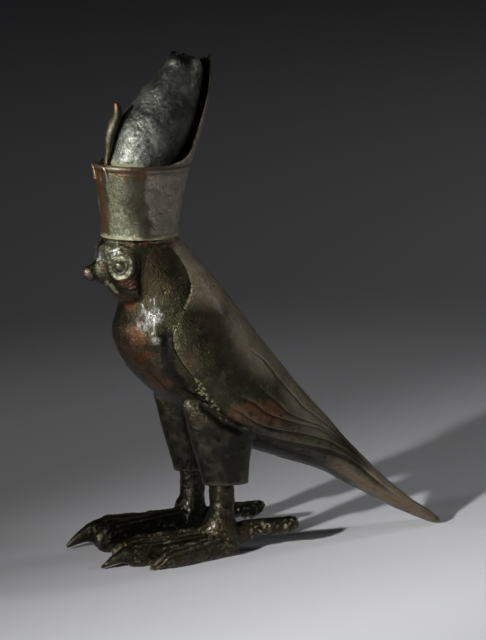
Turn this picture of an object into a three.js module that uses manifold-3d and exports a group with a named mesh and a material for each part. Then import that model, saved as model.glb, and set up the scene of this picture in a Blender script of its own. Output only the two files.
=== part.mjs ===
// A cast bronze falcon of ancient Egypt that stands on its two feet and its tail tip.
// It wears the double crown: a red crown cup with a tall back plate, and a white crown set inside it.
// Millimetres, +Z up. The falcon faces -Y, and its left side is +X.
import * as THREE from 'three';
import { mergeVertices } from 'three/addons/utils/BufferGeometryUtils.js';
import Module from 'manifold-3d';

const wasm = await Module();
wasm.setup();

// The falcon itself, from the ground to the seat of the crown.
// Its pose and carving are counted in shares of this height.
const falconHeight = 170;
const sharesInHeight = 170;
const share = falconHeight / sharesInHeight;

// The red crown: a cup on a round foot, with a shallow ledge inside its rim.
const crownFootDiameter = 39.8;
const crownRimDiameter = 51.6;
const crownCupHeight = 38.7;
const crownWall = 2;
const crownLedgeDepth = 1.6;

// The tall plate at the back of the red crown, above the rim.
const backPlateHeight = 54.6;

// The white crown, a tall worn bulb that leans back along the plate.
const whiteCrownSideGap = 3.4;
const whiteCrownAbovePlate = 2;

// Castings that rest on each other keep this gap.
const seatGap = 0.3;

// The round flange on the head stands out past the crown's foot.
const seatFlangeLip = 0.5;
const seatFlangeThickness = 1.6;

// Legs and feet. The right foot is cast a little taller than the left.
const shankDiameter = 13.1;
const legSpacing = 38.4;
const leftToeHeight = 12.8;
const rightToeHeight = 16.4;

// Relief of the wings: the step at their lower edge, and the overlap of the long feathers.
const wingStep = 1.7;
const featherRelief = 0.55;

// The crowns stand about this upright line.
const axisY = -59.2 * share;

// Solids from rings of points

function solidFrom(positions, triangles) {
  const mesh = new wasm.Mesh({
    numProp: 3,
    vertProperties: new Float32Array(positions),
    triVerts: new Uint32Array(triangles),
  });
  return new wasm.Manifold(mesh);
}

function signedVolume(points, triangles) {
  let six = 0;
  for (let i = 0; i < triangles.length; i += 3) {
    const [a, b, c] = triangles.slice(i, i + 3).map((index) => points[index]);
    six += a.dot(b.clone().cross(c));
  }
  return six / 6;
}

// Rings of equal count are skinned in order, and each end is closed by a fan about its middle.
function loft(rings) {
  const count = rings[0].length;
  const points = rings.flat();
  const triangles = [];
  for (let row = 0; row + 1 < rings.length; row++) {
    for (let k = 0; k < count; k++) {
      const next = (k + 1) % count;
      const [a, b] = [row * count + k, row * count + next];
      const [c, d] = [a + count, b + count];
      triangles.push(a, b, d, a, d, c);
    }
  }
  const last = (rings.length - 1) * count;
  const startMiddle = points.push(middleOf(rings[0])) - 1;
  const endMiddle = points.push(middleOf(rings.at(-1))) - 1;
  for (let k = 0; k < count; k++) {
    const next = (k + 1) % count;
    triangles.push(startMiddle, next, k);
    triangles.push(endMiddle, last + k, last + next);
  }
  if (signedVolume(points, triangles) < 0) {
    triangles.reverse();
  }
  return solidFrom(points.flatMap((point) => point.toArray()), triangles);
}

function middleOf(ring) {
  const middle = new THREE.Vector3();
  ring.forEach((point) => middle.add(point));
  return middle.divideScalar(ring.length);
}

// Each row is [x, y, z, radius sideways, radius upright]. The ring stands square to the route,
// and its upright direction is the part of lean that is square to the route.
function limb(rows, sides, lean) {
  const route = rows.map((row) => new THREE.Vector3(row[0], row[1], row[2]));
  const rings = rows.map((row, i) => {
    const before = route[Math.max(i - 1, 0)];
    const after = route[Math.min(i + 1, route.length - 1)];
    const along = after.clone().sub(before).normalize();
    const sideways = lean.clone().cross(along).normalize();
    const upright = along.clone().cross(sideways);
    return Array.from({ length: sides }, (_, k) => {
      const angle = (2 * Math.PI * k) / sides;
      return route[i].clone()
        .addScaledVector(sideways, row[3] * Math.sin(angle))
        .addScaledVector(upright, row[4] * Math.cos(angle));
    });
  });
  return loft(rings);
}

// A smooth run through rows of numbers, with perGap rows for each gap between the given ones.
function smoothRows(rows, perGap) {
  const out = [];
  for (let i = 0; i + 1 < rows.length; i++) {
    const [p1, p2] = [rows[i], rows[i + 1]];
    const [p0, p3] = [rows[i - 1] ?? p1, rows[i + 2] ?? p2];
    for (let step = 0; step < perGap; step++) {
      const t = step / perGap;
      out.push(p1.map((_, n) => {
        const slopeIn = (p2[n] - p0[n]) / 2;
        const slopeOut = (p3[n] - p1[n]) / 2;
        const rise = p2[n] - p1[n];
        return p1[n] + t * slopeIn + t * t * (3 * rise - 2 * slopeIn - slopeOut)
          + t * t * t * (slopeIn + slopeOut - 2 * rise);
      }));
    }
  }
  out.push(rows.at(-1));
  return out;
}

// The row at a place between rows that open with their own places.
function rowAt(rows, place) {
  const slack = 1e-9;
  const upper = Math.max(1, rows.findIndex((row) => row[0] >= place - slack));
  const [low, high] = [rows[upper - 1], rows[upper]];
  const part = (place - low[0]) / (high[0] - low[0]);
  return low.map((value, n) => value + (high[n] - value) * part);
}

function inShares(rows) {
  return rows.map((row) => row.map((value) => value * share));
}

// Corners of three.js shapes closer than this are one corner.
const weldDistance = 1e-4;

function fromGeometry(geometry) {
  geometry.deleteAttribute('normal');
  geometry.deleteAttribute('uv');
  const merged = mergeVertices(geometry, weldDistance);
  return solidFrom(merged.attributes.position.array, merged.index.array);
}

function joined(solids) {
  return solids.reduce((sum, solid) => sum.add(solid));
}

function onBothSides(make) {
  return [make(1), make(-1)];
}

const upward = new THREE.Vector3(0, 0, 1);
const rearward = new THREE.Vector3(0, 1, 0);

// Neck, body, wings and tail

// Each station is a cut through the body from its back point to its belly point, in shares:
// [back y, back z, belly y, belly z, half width, widest place, wing edge place, step, feathers].
// Places run from 0 at the back to 1 at the belly. Step and feathers are shares of the wings' relief.
const bodyStations = [
  [-38.5, 168.9, -77.0, 168.9, 18.4, 0.50, 0.32, 0.15, 0.0],
  [-31.3, 161.0, -73.5, 152.0, 20.0, 0.50, 0.28, 0.2, 0.0],
  [-22.2, 150.8, -69.3, 138.5, 23.8, 0.47, 0.37, 0.25, 0.0],
  [-12.0, 138.0, -71.0, 128.0, 29.0, 0.46, 0.60, 0.4, 0.0],
  [-1.5, 124.0, -72.8, 119.0, 33.0, 0.49, 0.73, 0.8, 0.0],
  [8.5, 111.5, -69.5, 108.0, 35.0, 0.52, 0.75, 1.1, 0.1],
  [19.5, 98.0, -62.0, 97.0, 35.8, 0.56, 0.75, 1.3, 0.6],
  [30.0, 85.5, -50.0, 85.5, 35.6, 0.60, 0.80, 1.4, 1.0],
  [39.5, 75.0, -30.0, 70.5, 34.2, 0.64, 0.825, 1.4, 1.0],
  [47.5, 66.0, -8.0, 56.5, 30.5, 0.60, 0.63, 1.4, 1.0],
  [57.0, 54.8, 20.0, 45.5, 24.8, 0.54, 0.405, 1.3, 1.0],
  [67.0, 44.5, 44.0, 36.5, 19.5, 0.50, 0.335, 1.0, 1.0],
  [78.0, 34.0, 63.0, 25.8, 15.5, 0.50, 0.375, 0.7, 0.8],
  [89.0, 24.2, 79.0, 16.8, 12.6, 0.50, 0.42, 0.2, 0.3],
  [100.0, 15.3, 93.5, 9.0, 10.8, 0.50, 0.50, 0.0, 0.0],
  [110.4, 8.4, 105.5, 3.4, 9.7, 0.50, 0.50, 0.0, 0.0],
  [115.0, 4.6, 112.0, 0.6, 8.4, 0.50, 0.50, 0.0, 0.0],
  [117.3, 2.2, 115.3, -0.4, 5.6, 0.50, 0.50, 0.0, 0.0],
];
const stationsPerGap = 2;

// Places across one wing, from the middle of the back to the wing edge.
// Each long feather starts low and ends proud of the next one.
const featherCount = 4;
const featherOverlap = 0.06;
const breastPlaces = [0.03, 0.14, 0.3, 0.48, 0.66, 0.84];

function wingSamples() {
  const samples = [];
  for (let feather = 0; feather < featherCount; feather++) {
    const width = 1 / featherCount;
    const start = feather * width;
    samples.push([start, feather === 0 ? 0.5 : -0.5]);
    samples.push([start + width * 0.5, 0.15]);
    samples.push([start + width * (1 - featherOverlap), 0.5]);
  }
  samples.push([1, 0.5]);
  return samples;
}

// A point of the cut at angle turn, from 0 at the back to pi at the belly, on side +1 or -1.
function cutPoint(row, turn, side, inset) {
  const [backY, backZ, bellyY, bellyZ, half, widest] = row;
  const place = turn < Math.PI / 2
    ? widest * (1 - Math.cos(turn))
    : widest - (1 - widest) * Math.cos(turn);
  const point = new THREE.Vector3(side * half * Math.sin(turn), backY, backZ);
  point.y += (bellyY - backY) * place;
  point.z += (bellyZ - backZ) * place;
  const middle = new THREE.Vector3(0, backY + (bellyY - backY) * widest, backZ + (bellyZ - backZ) * widest);
  return point.addScaledVector(middle.sub(point).normalize(), inset);
}

function turnAt(place, widest) {
  return place < widest ? Math.acos(1 - place / widest) : Math.acos((widest - place) / (1 - widest));
}

function bodyRing(row) {
  const [, , , , , widest, edge, step, feathers] = row;
  const edgeTurn = turnAt(edge, widest);
  const half = wingSamples().map(([across, lift]) => [across * edgeTurn, -lift * feathers * featherRelief]);
  for (const place of breastPlaces) {
    const fade = (1 - place) ** 2;
    half.push([edgeTurn + (Math.PI - edgeTurn) * place, wingStep * step * fade]);
  }
  const right = half.map(([turn, inset]) => cutPoint(row, turn, 1, inset));
  const left = half.slice(1).reverse().map(([turn, inset]) => cutPoint(row, turn, -1, inset));
  return [...right, cutPoint(row, Math.PI, 1, 0), ...left];
}

function body() {
  const placed = bodyStations.map((row) => (
    [...row.slice(0, 5).map((value) => value * share), ...row.slice(5)]
  ));
  return loft(smoothRows(placed, stationsPerGap).map(bodyRing));
}

// Head

// Each row of the face is [z, middle y, reach forward, reach back, half width], in shares.
const faceRows = inShares([
  [134.5, -62.5, 6.0, 6.0, 8.5],
  [138.5, -64.5, 8.4, 5.5, 13.5],
  [143.0, -67.5, 8.6, 5.0, 16.8],
  [147.5, -69.0, 10.2, 5.5, 18.2],
  [152.5, -69.2, 11.8, 5.5, 18.6],
  [158.0, -69.2, 13.0, 6.0, 18.7],
  [163.0, -68.6, 13.6, 9.0, 18.5],
  [166.6, -67.0, 14.2, 16.0, 18.4],
  [169.2, -64.0, 14.6, 20.0, 18.6],
]);
const faceSides = 24;

function face() {
  const rings = smoothRows(faceRows, 2).map(([z, y, forward, back, half]) => (
    Array.from({ length: faceSides }, (_, k) => {
      const angle = (2 * Math.PI * k) / faceSides;
      const reach = Math.cos(angle) > 0 ? forward : back;
      return new THREE.Vector3(half * Math.sin(angle), y - reach * Math.cos(angle), z);
    })
  ));
  return loft(rings);
}

// The face runs forward in a blunt cone, and the beak sits on it as a small upright knob.
// Each row is [x, y, z, half width, half height].
const beakSides = 12;

function nose() {
  return limb(inShares([
    [0, -73.0, 153.4, 11.5, 9.6],
    [0, -78.0, 153.4, 9.0, 8.6],
    [0, -82.0, 153.4, 5.8, 6.9],
    [0, -84.6, 153.2, 3.6, 5.2],
    [0, -85.8, 153.0, 1.8, 3.0],
  ]), beakSides, upward);
}

function beak() {
  return limb(inShares([
    [0, -83.8, 152.2, 1.6, 2.6],
    [0, -85.8, 151.9, 2.9, 4.0],
    [0, -87.8, 151.1, 2.9, 4.1],
    [0, -89.4, 150.3, 2.0, 3.0],
    [0, -90.2, 150.0, 0.8, 1.4],
  ]), beakSides, upward);
}

const flangeSides = 40;

function seatFlange() {
  const radius = crownFootDiameter / 2 + seatFlangeLip;
  const flange = new THREE.CylinderGeometry(radius, radius, seatFlangeThickness, flangeSides);
  flange.rotateX(Math.PI / 2);
  flange.translate(0, axisY, falconHeight - seatFlangeThickness / 2);
  return fromGeometry(flange);
}

// Eyes: a raised ball in a raised ring, on the front quarter of each cheek.
const eyePlace = new THREE.Vector3(15.0, -77.0, 157.2).multiplyScalar(share);
const eyeFacing = new THREE.Vector3(0.78, -0.62, 0.04).normalize();
const eyeBallRadius = 2 * share;
const eyeRingRadius = 5 * share;
const eyeRingThickness = 0.75 * share;
const [ballSides, ballRows, ringSides, ringSteps] = [10, 6, 5, 18];

function eye(side) {
  const place = eyePlace.clone();
  place.x *= side;
  const facing = eyeFacing.clone();
  facing.x *= side;
  const ball = new THREE.SphereGeometry(eyeBallRadius, ballSides, ballRows);
  ball.translate(place.x, place.y, place.z);
  const ring = new THREE.TorusGeometry(eyeRingRadius, eyeRingThickness, ringSides, ringSteps);
  ring.applyQuaternion(new THREE.Quaternion().setFromUnitVectors(upward, facing));
  ring.translate(place.x, place.y, place.z);
  return joined([fromGeometry(ball), fromGeometry(ring)]);
}

// The brow runs from the beak over the eye to the back of the cheek.
const browSides = 6;

function brow(side) {
  return limb(inShares([
    [side * 5.5, -80.4, 159.6, 0.8, 1.0],
    [side * 10.0, -79.0, 163.2, 1.3, 1.3],
    [side * 14.8, -75.4, 164.4, 1.3, 1.3],
    [side * 17.6, -69.8, 163.0, 0.8, 1.0],
  ]), browSides, upward);
}

// Legs

// Each row of the thigh is [forward y, rear y, z, half width], in shares, inside the body at the top.
// Its front is round, and its rear is squared off like the cut edge of its feathers.
const thighRows = inShares([
  [-36.0, -8.0, 93.0, 5.5],
  [-41.5, 0.0, 88.5, 7.0],
  [-43.4, 3.0, 82.0, 9.0],
  [-41.6, 2.0, 75.0, 9.8],
  [-40.0, -0.5, 68.0, 9.8],
  [-37.2, -5.4, 58.0, 9.4],
  [-34.0, -7.0, 48.0, 8.8],
  [-31.4, -7.2, 38.4, 8.2],
]);
const thighSides = 20;
const rearSquareness = 0.55;

function thigh(side) {
  const rings = smoothRows(thighRows, 2).map(([front, rear, z, half]) => (
    Array.from({ length: thighSides }, (_, k) => {
      const angle = (2 * Math.PI * k) / thighSides;
      const power = Math.cos(angle) < 0 ? rearSquareness : 1;
      const across = Math.sign(Math.sin(angle)) * Math.abs(Math.sin(angle)) ** power;
      const along = Math.sign(Math.cos(angle)) * Math.abs(Math.cos(angle)) ** power;
      const y = (front + rear) / 2 - ((rear - front) / 2) * along;
      return new THREE.Vector3((side * legSpacing) / 2 + half * across, y, z);
    })
  ));
  return loft(rings);
}

// Each row of the shank is [y, z] in shares and [half width, half depth] in shank radii.
// It stays round below the thigh and spreads into the foot.
const shankRows = [
  [-21.3, 42.0, 1.0, 1.0],
  [-21.3, 33.0, 1.0, 1.0],
  [-21.3, 24.0, 1.02, 1.04],
  [-22.0, 17.7, 1.2, 1.35],
  [-22.6, 11.3, 1.4, 1.8],
  [-22.6, 5.0, 1.4, 1.7],
];
const shankSides = 14;

function shank(side) {
  const radius = shankDiameter / 2;
  return limb(shankRows.map(([y, z, halfWidth, halfDepth]) => (
    [(side * legSpacing) / 2, y * share, z * share, halfWidth * radius, halfDepth * radius]
  )), shankSides, rearward);
}

// Feet. Each row of a toe is [x from the leg, y, z, half width, half height], in shares.
// The lower part of each toe is cut off flat on the ground.
const middleToe = [
  [0.4, -18, 6.4, 7.8, 8.8],
  [1.6, -34, 6.2, 6.4, 8.0],
  [3.0, -50, 6.2, 5.4, 7.5],
  [4.0, -63, 6.2, 5.0, 7.3],
  [4.3, -71, 6.2, 5.2, 7.6],
  [4.5, -77, 6.8, 4.2, 5.2],
  [4.7, -82, 5.8, 2.8, 3.4],
  [4.8, -87, 3.8, 1.9, 2.2],
  [4.9, -92, 1.3, 0.6, 0.7],
];
const outerToe = [
  [1.5, -17, 6.0, 7.0, 7.6],
  [7.6, -32, 5.6, 5.4, 6.6],
  [12.8, -46, 5.4, 4.6, 5.6],
  [15.8, -55, 5.2, 4.4, 5.2],
  [16.9, -60, 4.8, 4.0, 4.4],
  [17.4, -63, 3.6, 2.4, 2.6],
  [18.0, -66.5, 2.6, 1.7, 1.8],
  [18.4, -69.5, 1.3, 0.6, 0.7],
];
const innerToe = [
  [-1.0, -20, 6.4, 7.0, 8.6],
  [-4.0, -38, 6.4, 5.4, 8.6],
  [-6.6, -54, 6.2, 4.8, 7.8],
  [-7.8, -66, 6.0, 4.8, 7.4],
  [-8.2, -75, 5.4, 4.2, 6.2],
  [-8.4, -80, 4.6, 2.4, 3.4],
];
const hindToe = [
  [0, -17, 8.5, 6.2, 6.4],
  [0.4, -6, 12.4, 4.8, 5.0],
  [0.9, 6, 12.8, 4.3, 4.4],
  [1.2, 14.5, 12.9, 4.1, 4.2],
  [1.6, 19.5, 13.2, 3.2, 3.3],
  [1.7, 21.4, 13.4, 1.6, 1.6],
];
// The front toes are carved to this height at the knuckle, and each foot is then cast to its own.
const carvedToeHeight = 13.8;
const toeSides = 10;

function toe(rows, side, tall) {
  const placed = rows.map(([out, y, z, halfWidth, halfHeight]) => [
    side * (legSpacing / 2 + out * share),
    y * share,
    z * share * tall,
    halfWidth * share,
    halfHeight * share * tall,
  ]);
  return limb(placed, toeSides, upward);
}

function leg(side) {
  const tall = (side > 0 ? leftToeHeight : rightToeHeight) / (carvedToeHeight * share);
  const frontToes = [middleToe, outerToe, innerToe].map((rows) => toe(rows, side, tall));
  return joined([thigh(side), shank(side), ...frontToes, toe(hindToe, side, 1)]);
}

function groundSlab() {
  const depth = falconHeight / 4;
  const slab = new THREE.BoxGeometry(2 * falconHeight, 2 * falconHeight, depth);
  slab.translate(0, 0, -depth / 2);
  return fromGeometry(slab);
}

function falcon() {
  const forms = [body(), face(), nose(), beak(), seatFlange()];
  forms.push(...onBothSides(eye), ...onBothSides(brow), ...onBothSides(leg));
  return joined(forms).subtract(groundSlab());
}

// Red crown

const crownFootZ = falconHeight + seatGap;
const rimZ = crownFootZ + crownCupHeight;
const ledgeZ = rimZ - crownLedgeDepth;
const rimRadius = crownRimDiameter / 2;
const footRadius = crownFootDiameter / 2;

// The cup's wall flares more and more toward the rim, and its middle drifts a little backward.
const cupFlare = 1.4;
const rimDrift = 0.057;

// Above the rim the plate leans back and narrows. Each row is
// [share of the plate's height, middle behind the axis in rim radii, radius in rim radii].
const plateRows = [
  [0.00, rimDrift, 1.00],
  [0.06, 0.124, 0.988],
  [0.26, 0.365, 0.90],
  [0.45, 0.587, 0.81],
  [0.65, 0.803, 0.70],
  [0.78, 0.925, 0.612],
  [0.93, 1.050, 0.496],
  [1.00, 1.105, 0.45],
];

// The rim's height at each angle from the back: [degrees, share of the plate's height].
const rimHeights = [
  [0, 1.0], [12, 0.99], [24, 0.965], [31, 0.93], [34, 0.86], [36, 0.76], [38, 0.66],
  [40.5, 0.50], [43, 0.30], [45, 0.17], [49, 0.10], [56, 0.06], [64, 0.03], [78, 0.008],
  [92, 0], [108, 0], [124, 0], [140, 0], [154, 0], [168, 0], [180, 0],
];

// Levels up the outside and down the inside, in shares of the height at each angle.
const outerLevels = [0, 0.2, 0.4, 0.6, 0.75, 0.88, 1];
const innerLevels = [1, 0.66, 0.33, 0];

function crownSection(z) {
  if (z <= rimZ) {
    const t = (z - crownFootZ) / crownCupHeight;
    return {
      back: rimDrift * rimRadius * t,
      radius: footRadius + (rimRadius - footRadius) * t ** cupFlare,
    };
  }
  const [, back, radius] = rowAt(plateRows, (z - rimZ) / backPlateHeight);
  return { back: rimRadius * back, radius: rimRadius * radius };
}

function crownPoint(degreesFromBack, z, inward) {
  const angle = THREE.MathUtils.degToRad(degreesFromBack);
  const { back, radius } = crownSection(z);
  const reach = radius - inward;
  return new THREE.Vector3(reach * Math.sin(angle), axisY + back + reach * Math.cos(angle), z);
}

function crownCup() {
  const leftSide = rimHeights.slice(1, -1).reverse().map(([degrees, height]) => [-degrees, height]);
  const columns = [...rimHeights, ...leftSide];
  const ring = (lowestZ, level, inward) => columns.map(([degrees, height]) => {
    const highestZ = rimZ + height * backPlateHeight;
    return crownPoint(degrees, lowestZ + (highestZ - lowestZ) * level, inward);
  });
  const outer = outerLevels.map((level) => ring(crownFootZ, level, 0));
  const inner = innerLevels.map((level) => ring(ledgeZ, level, crownWall));
  return loft([...outer, ...inner]);
}

// The rearing cobra stands on the ledge, close in front of the white crown. Each row is
// [share of its height], then [gap to the white crown, half width, half depth] in cobra widths.
const cobraHeight = 33;
const cobraWidth = 8;
const cobraSides = 10;
const cobraRows = [
  [-0.04, 0.05, 0.225, 0.15],
  [0.15, 0.063, 0.275, 0.175],
  [0.33, 0.05, 0.363, 0.238],
  [0.52, 0.05, 0.45, 0.275],
  [0.68, 0.163, 0.5, 0.294],
  [0.80, 0.375, 0.475, 0.275],
  [0.91, 0.788, 0.35, 0.263],
  [0.98, 1.113, 0.238, 0.188],
  [1.00, 1.288, 0.113, 0.088],
];

function cobra() {
  return limb(cobraRows.map(([rise, ...widths]) => {
    const [gap, halfWidth, halfDepth] = widths.map((value) => value * cobraWidth);
    const z = ledgeZ + rise * cobraHeight;
    const { lean, radius } = whiteCrownSection(z);
    return [0, axisY + lean - radius - gap - halfDepth, z, halfWidth, halfDepth];
  }), cobraSides, rearward);
}

// The cobra's body shows on the front of the cup as a raised loop on each side of its middle.
// Each loop is open at the bottom.
const coilMiddle = 6.8;
const coilHalfWidth = 2.8;
const coilHeight = 7.5;
const coilThickness = 1.9;
const coilBelowRim = 1.3;
const coilSteps = 8;
const coilSides = 6;

function coil(side) {
  const rows = [];
  for (let k = 0; k <= coilSteps; k++) {
    const turn = (Math.PI * k) / coilSteps;
    const x = side * (coilMiddle - coilHalfWidth * Math.cos(turn));
    const z = rimZ - coilBelowRim - coilHeight * (1 - Math.sin(turn));
    const degrees = 180 - THREE.MathUtils.radToDeg(Math.asin(x / rimRadius));
    const surface = crownPoint(degrees, z, 0);
    rows.push([surface.x, surface.y, z, coilThickness / 2, coilThickness / 2]);
  }
  return limb(rows, coilSides, rearward);
}

function redCrown() {
  return joined([crownCup(), cobra(), ...onBothSides(coil)]);
}

// White crown

const whiteCrownFootZ = ledgeZ + seatGap;
const whiteCrownHeight = rimZ + backPlateHeight + whiteCrownAbovePlate - whiteCrownFootZ;
const whiteCrownRadius = rimRadius - crownWall - whiteCrownSideGap;

// Each row is [share of the height, middle behind the axis, front to back reach], the last two in
// largest radii. The bulb is a little narrower from side to side, and its top is worn and broken.
const whiteCrownRows = [
  [0.00, 0.12, 0.930],
  [0.047, 0.15, 0.955],
  [0.133, 0.24, 0.970],
  [0.288, 0.37, 1.000],
  [0.426, 0.55, 0.950],
  [0.512, 0.69, 0.885],
  [0.622, 0.85, 0.805],
  [0.764, 1.10, 0.625],
  [0.867, 1.22, 0.490],
  [0.943, 1.24, 0.400],
  [1.00, 1.23, 0.290],
];
const whiteCrownNarrowing = 0.94;
const whiteCrownSides = 24;

// The broken top slopes down toward the back, and the slope fades out quickly below it.
const whiteCrownTopDrop = 2.5;
const whiteCrownDropFade = 12;

function whiteCrownSection(z) {
  const rise = (z - whiteCrownFootZ) / whiteCrownHeight;
  const [, lean, radius] = rowAt(whiteCrownRows, Math.max(0, rise));
  return { lean: whiteCrownRadius * lean, radius: whiteCrownRadius * radius };
}

function whiteCrown() {
  const rings = whiteCrownRows.map(([rise]) => {
    const z = whiteCrownFootZ + rise * whiteCrownHeight;
    const { lean, radius } = whiteCrownSection(z);
    return Array.from({ length: whiteCrownSides }, (_, k) => {
      const angle = (2 * Math.PI * k) / whiteCrownSides;
      const drop = whiteCrownTopDrop * rise ** whiteCrownDropFade * (1 + Math.cos(angle)) / 2;
      return new THREE.Vector3(
        radius * whiteCrownNarrowing * Math.sin(angle),
        axisY + lean + radius * Math.cos(angle),
        z - drop,
      );
    });
  });
  return loft(rings);
}

// The scene graph

function part(name, solid, material) {
  const { vertProperties, triVerts } = solid.getMesh();
  const geometry = new THREE.BufferGeometry();
  geometry.setAttribute('position', new THREE.BufferAttribute(vertProperties, 3));
  geometry.setIndex(new THREE.BufferAttribute(triVerts, 1));
  geometry.computeVertexNormals();
  const mesh = new THREE.Mesh(geometry, material);
  mesh.name = name;
  return mesh;
}

function bronze(color, roughness) {
  return new THREE.MeshStandardMaterial({ color, roughness, metalness: 1 });
}

const figure = new THREE.Group();
figure.add(part('falcon', falcon(), bronze('#3f3a2b', 0.42)));
figure.add(part('red_crown', redCrown(), bronze('#6a5a44', 0.45)));
figure.add(part('white_crown', whiteCrown(), bronze('#4d5148', 0.5)));

// The origin is on the ground, below the middle of the whole figure.
const bounds = new THREE.Box3().setFromObject(figure);
figure.position.set(
  -(bounds.min.x + bounds.max.x) / 2,
  -(bounds.min.y + bounds.max.y) / 2,
  -bounds.min.z,
);

export default figure;
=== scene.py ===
"""A cast bronze falcon with the double crown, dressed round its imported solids.

Shapes are worked out in millimetres in the figure's own drawing space, where the falcon faces -Y, its left
side is +X and the ground is z 0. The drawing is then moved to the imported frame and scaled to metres.
"""

import bpy
import numpy as np
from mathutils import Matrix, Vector


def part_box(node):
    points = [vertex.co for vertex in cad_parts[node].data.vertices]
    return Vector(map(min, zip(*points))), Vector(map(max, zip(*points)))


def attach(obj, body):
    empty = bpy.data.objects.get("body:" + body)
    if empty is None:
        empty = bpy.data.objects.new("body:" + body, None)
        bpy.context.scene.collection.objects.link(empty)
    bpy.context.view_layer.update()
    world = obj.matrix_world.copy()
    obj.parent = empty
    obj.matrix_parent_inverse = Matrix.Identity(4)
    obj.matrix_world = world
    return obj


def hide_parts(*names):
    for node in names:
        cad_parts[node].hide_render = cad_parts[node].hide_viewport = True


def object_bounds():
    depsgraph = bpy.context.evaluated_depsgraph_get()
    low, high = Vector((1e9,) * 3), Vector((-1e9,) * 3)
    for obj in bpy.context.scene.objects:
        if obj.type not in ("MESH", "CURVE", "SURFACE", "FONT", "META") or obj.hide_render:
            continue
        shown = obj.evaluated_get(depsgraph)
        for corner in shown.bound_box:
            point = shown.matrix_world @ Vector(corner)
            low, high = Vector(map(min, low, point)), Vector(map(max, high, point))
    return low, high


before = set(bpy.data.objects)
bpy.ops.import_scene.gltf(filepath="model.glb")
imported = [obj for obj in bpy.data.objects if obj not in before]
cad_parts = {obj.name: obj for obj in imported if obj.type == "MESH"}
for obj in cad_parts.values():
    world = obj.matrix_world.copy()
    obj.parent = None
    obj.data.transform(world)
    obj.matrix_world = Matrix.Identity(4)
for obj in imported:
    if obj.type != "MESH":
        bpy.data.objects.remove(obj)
cad_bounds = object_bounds()

# Body of the falcon
#
# Head, neck, breast, wings, tail and thighs are one hollow lost-wax casting in bronze. The wax was modelled
# by hand, so that its forms run softly into each other, and the feathers and face were cut into it.

metres_per_mm = 0.001
tail_tip_in_drawing = 117.4
drawing_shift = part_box("falcon")[1].y / metres_per_mm - tail_tip_in_drawing

# Each station is a cut through the body from its back point to its belly point:
# [back y, back z, belly y, belly z, half width, widest place, wing edge place, step].
# Places run from 0 at the back to 1 at the belly.
body_stations = [
    [-38.5, 168.9, -77.0, 168.9, 18.4, 0.50, 0.32, 0.15],
    [-31.3, 161.0, -73.5, 152.0, 20.0, 0.50, 0.28, 0.2],
    [-22.2, 150.8, -69.3, 138.5, 23.8, 0.47, 0.37, 0.25],
    [-12.0, 138.0, -71.0, 128.0, 29.0, 0.46, 0.60, 0.4],
    [-1.5, 124.0, -72.8, 119.0, 33.0, 0.49, 0.73, 0.8],
    [8.5, 111.5, -69.5, 108.0, 35.0, 0.52, 0.75, 1.1],
    [19.5, 98.0, -62.0, 97.0, 35.8, 0.56, 0.75, 1.3],
    [30.0, 85.5, -50.0, 85.5, 35.6, 0.60, 0.80, 1.4],
    [39.5, 75.0, -30.0, 70.5, 34.2, 0.64, 0.825, 1.4],
    [47.5, 66.0, -8.0, 56.5, 30.5, 0.60, 0.63, 1.4],
    [57.0, 54.8, 20.0, 45.5, 24.8, 0.54, 0.405, 1.3],
    [67.0, 44.5, 44.0, 36.5, 19.5, 0.50, 0.335, 1.0],
    [78.0, 34.0, 63.0, 25.8, 15.5, 0.50, 0.375, 0.7],
    [89.0, 24.2, 79.0, 16.8, 12.6, 0.50, 0.42, 0.2],
    [100.0, 15.3, 93.5, 9.0, 10.8, 0.50, 0.50, 0.0],
    [110.4, 8.4, 105.5, 3.4, 9.7, 0.50, 0.50, 0.0],
    [115.0, 4.6, 112.0, 0.6, 8.4, 0.50, 0.50, 0.0],
    [117.3, 2.2, 115.3, -0.4, 5.6, 0.50, 0.50, 0.0],
]
wing_step = 1.7
sides_on_wing, sides_on_belly = 80, 61
first_side_past_edge = 0.012


def smooth_rows(rows, per_gap):
    """A cubic through each pair of rows, whose end slopes are half the step between the rows beside it."""
    rows = np.asarray(rows, float)
    start, end = rows[:-1], rows[1:]
    before = np.vstack([rows[:1], rows[:-2]])
    after = np.vstack([rows[2:], rows[-1:]])
    t = (np.arange(per_gap) / per_gap)[None, :, None]
    slope_in = ((end - before) / 2)[:, None]
    slope_out = ((after - start) / 2)[:, None]
    change = (end - start)[:, None]
    run = start[:, None] + t * slope_in + t**2 * (3 * change - 2 * slope_in - slope_out)
    run = run + t**3 * (slope_in + slope_out - 2 * change)
    return np.vstack([run.reshape(-1, rows.shape[1]), rows[-1:]])


def closed_tube(rings):
    """Skins rings of points, an array of rings by sides by 3, and closes both ends by fans to their
    middles. Where the volume that the faces enclose comes out negative, they are turned to face outward."""
    count, sides = rings.shape[:2]
    points = np.vstack([rings.reshape(-1, 3), rings[0].mean(0), rings[-1].mean(0)])
    index = np.arange(count * sides).reshape(count, sides)
    turned = np.roll(index, -1, 1)
    a, b, c, d = index[:-1], turned[:-1], index[1:], turned[1:]
    skin = np.concatenate([np.stack([a, b, d], -1), np.stack([a, d, c], -1)]).reshape(-1, 3)
    start_middle = np.full(sides, count * sides)
    foot = np.stack([start_middle, turned[0], index[0]], -1)
    top = np.stack([start_middle + 1, index[-1], turned[-1]], -1)
    faces = np.vstack([skin, foot, top])
    corners = points[faces]
    volume = np.einsum("ij,ij->", corners[:, 0], np.cross(corners[:, 1], corners[:, 2]))
    return points, faces if volume > 0 else faces[:, ::-1]


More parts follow.
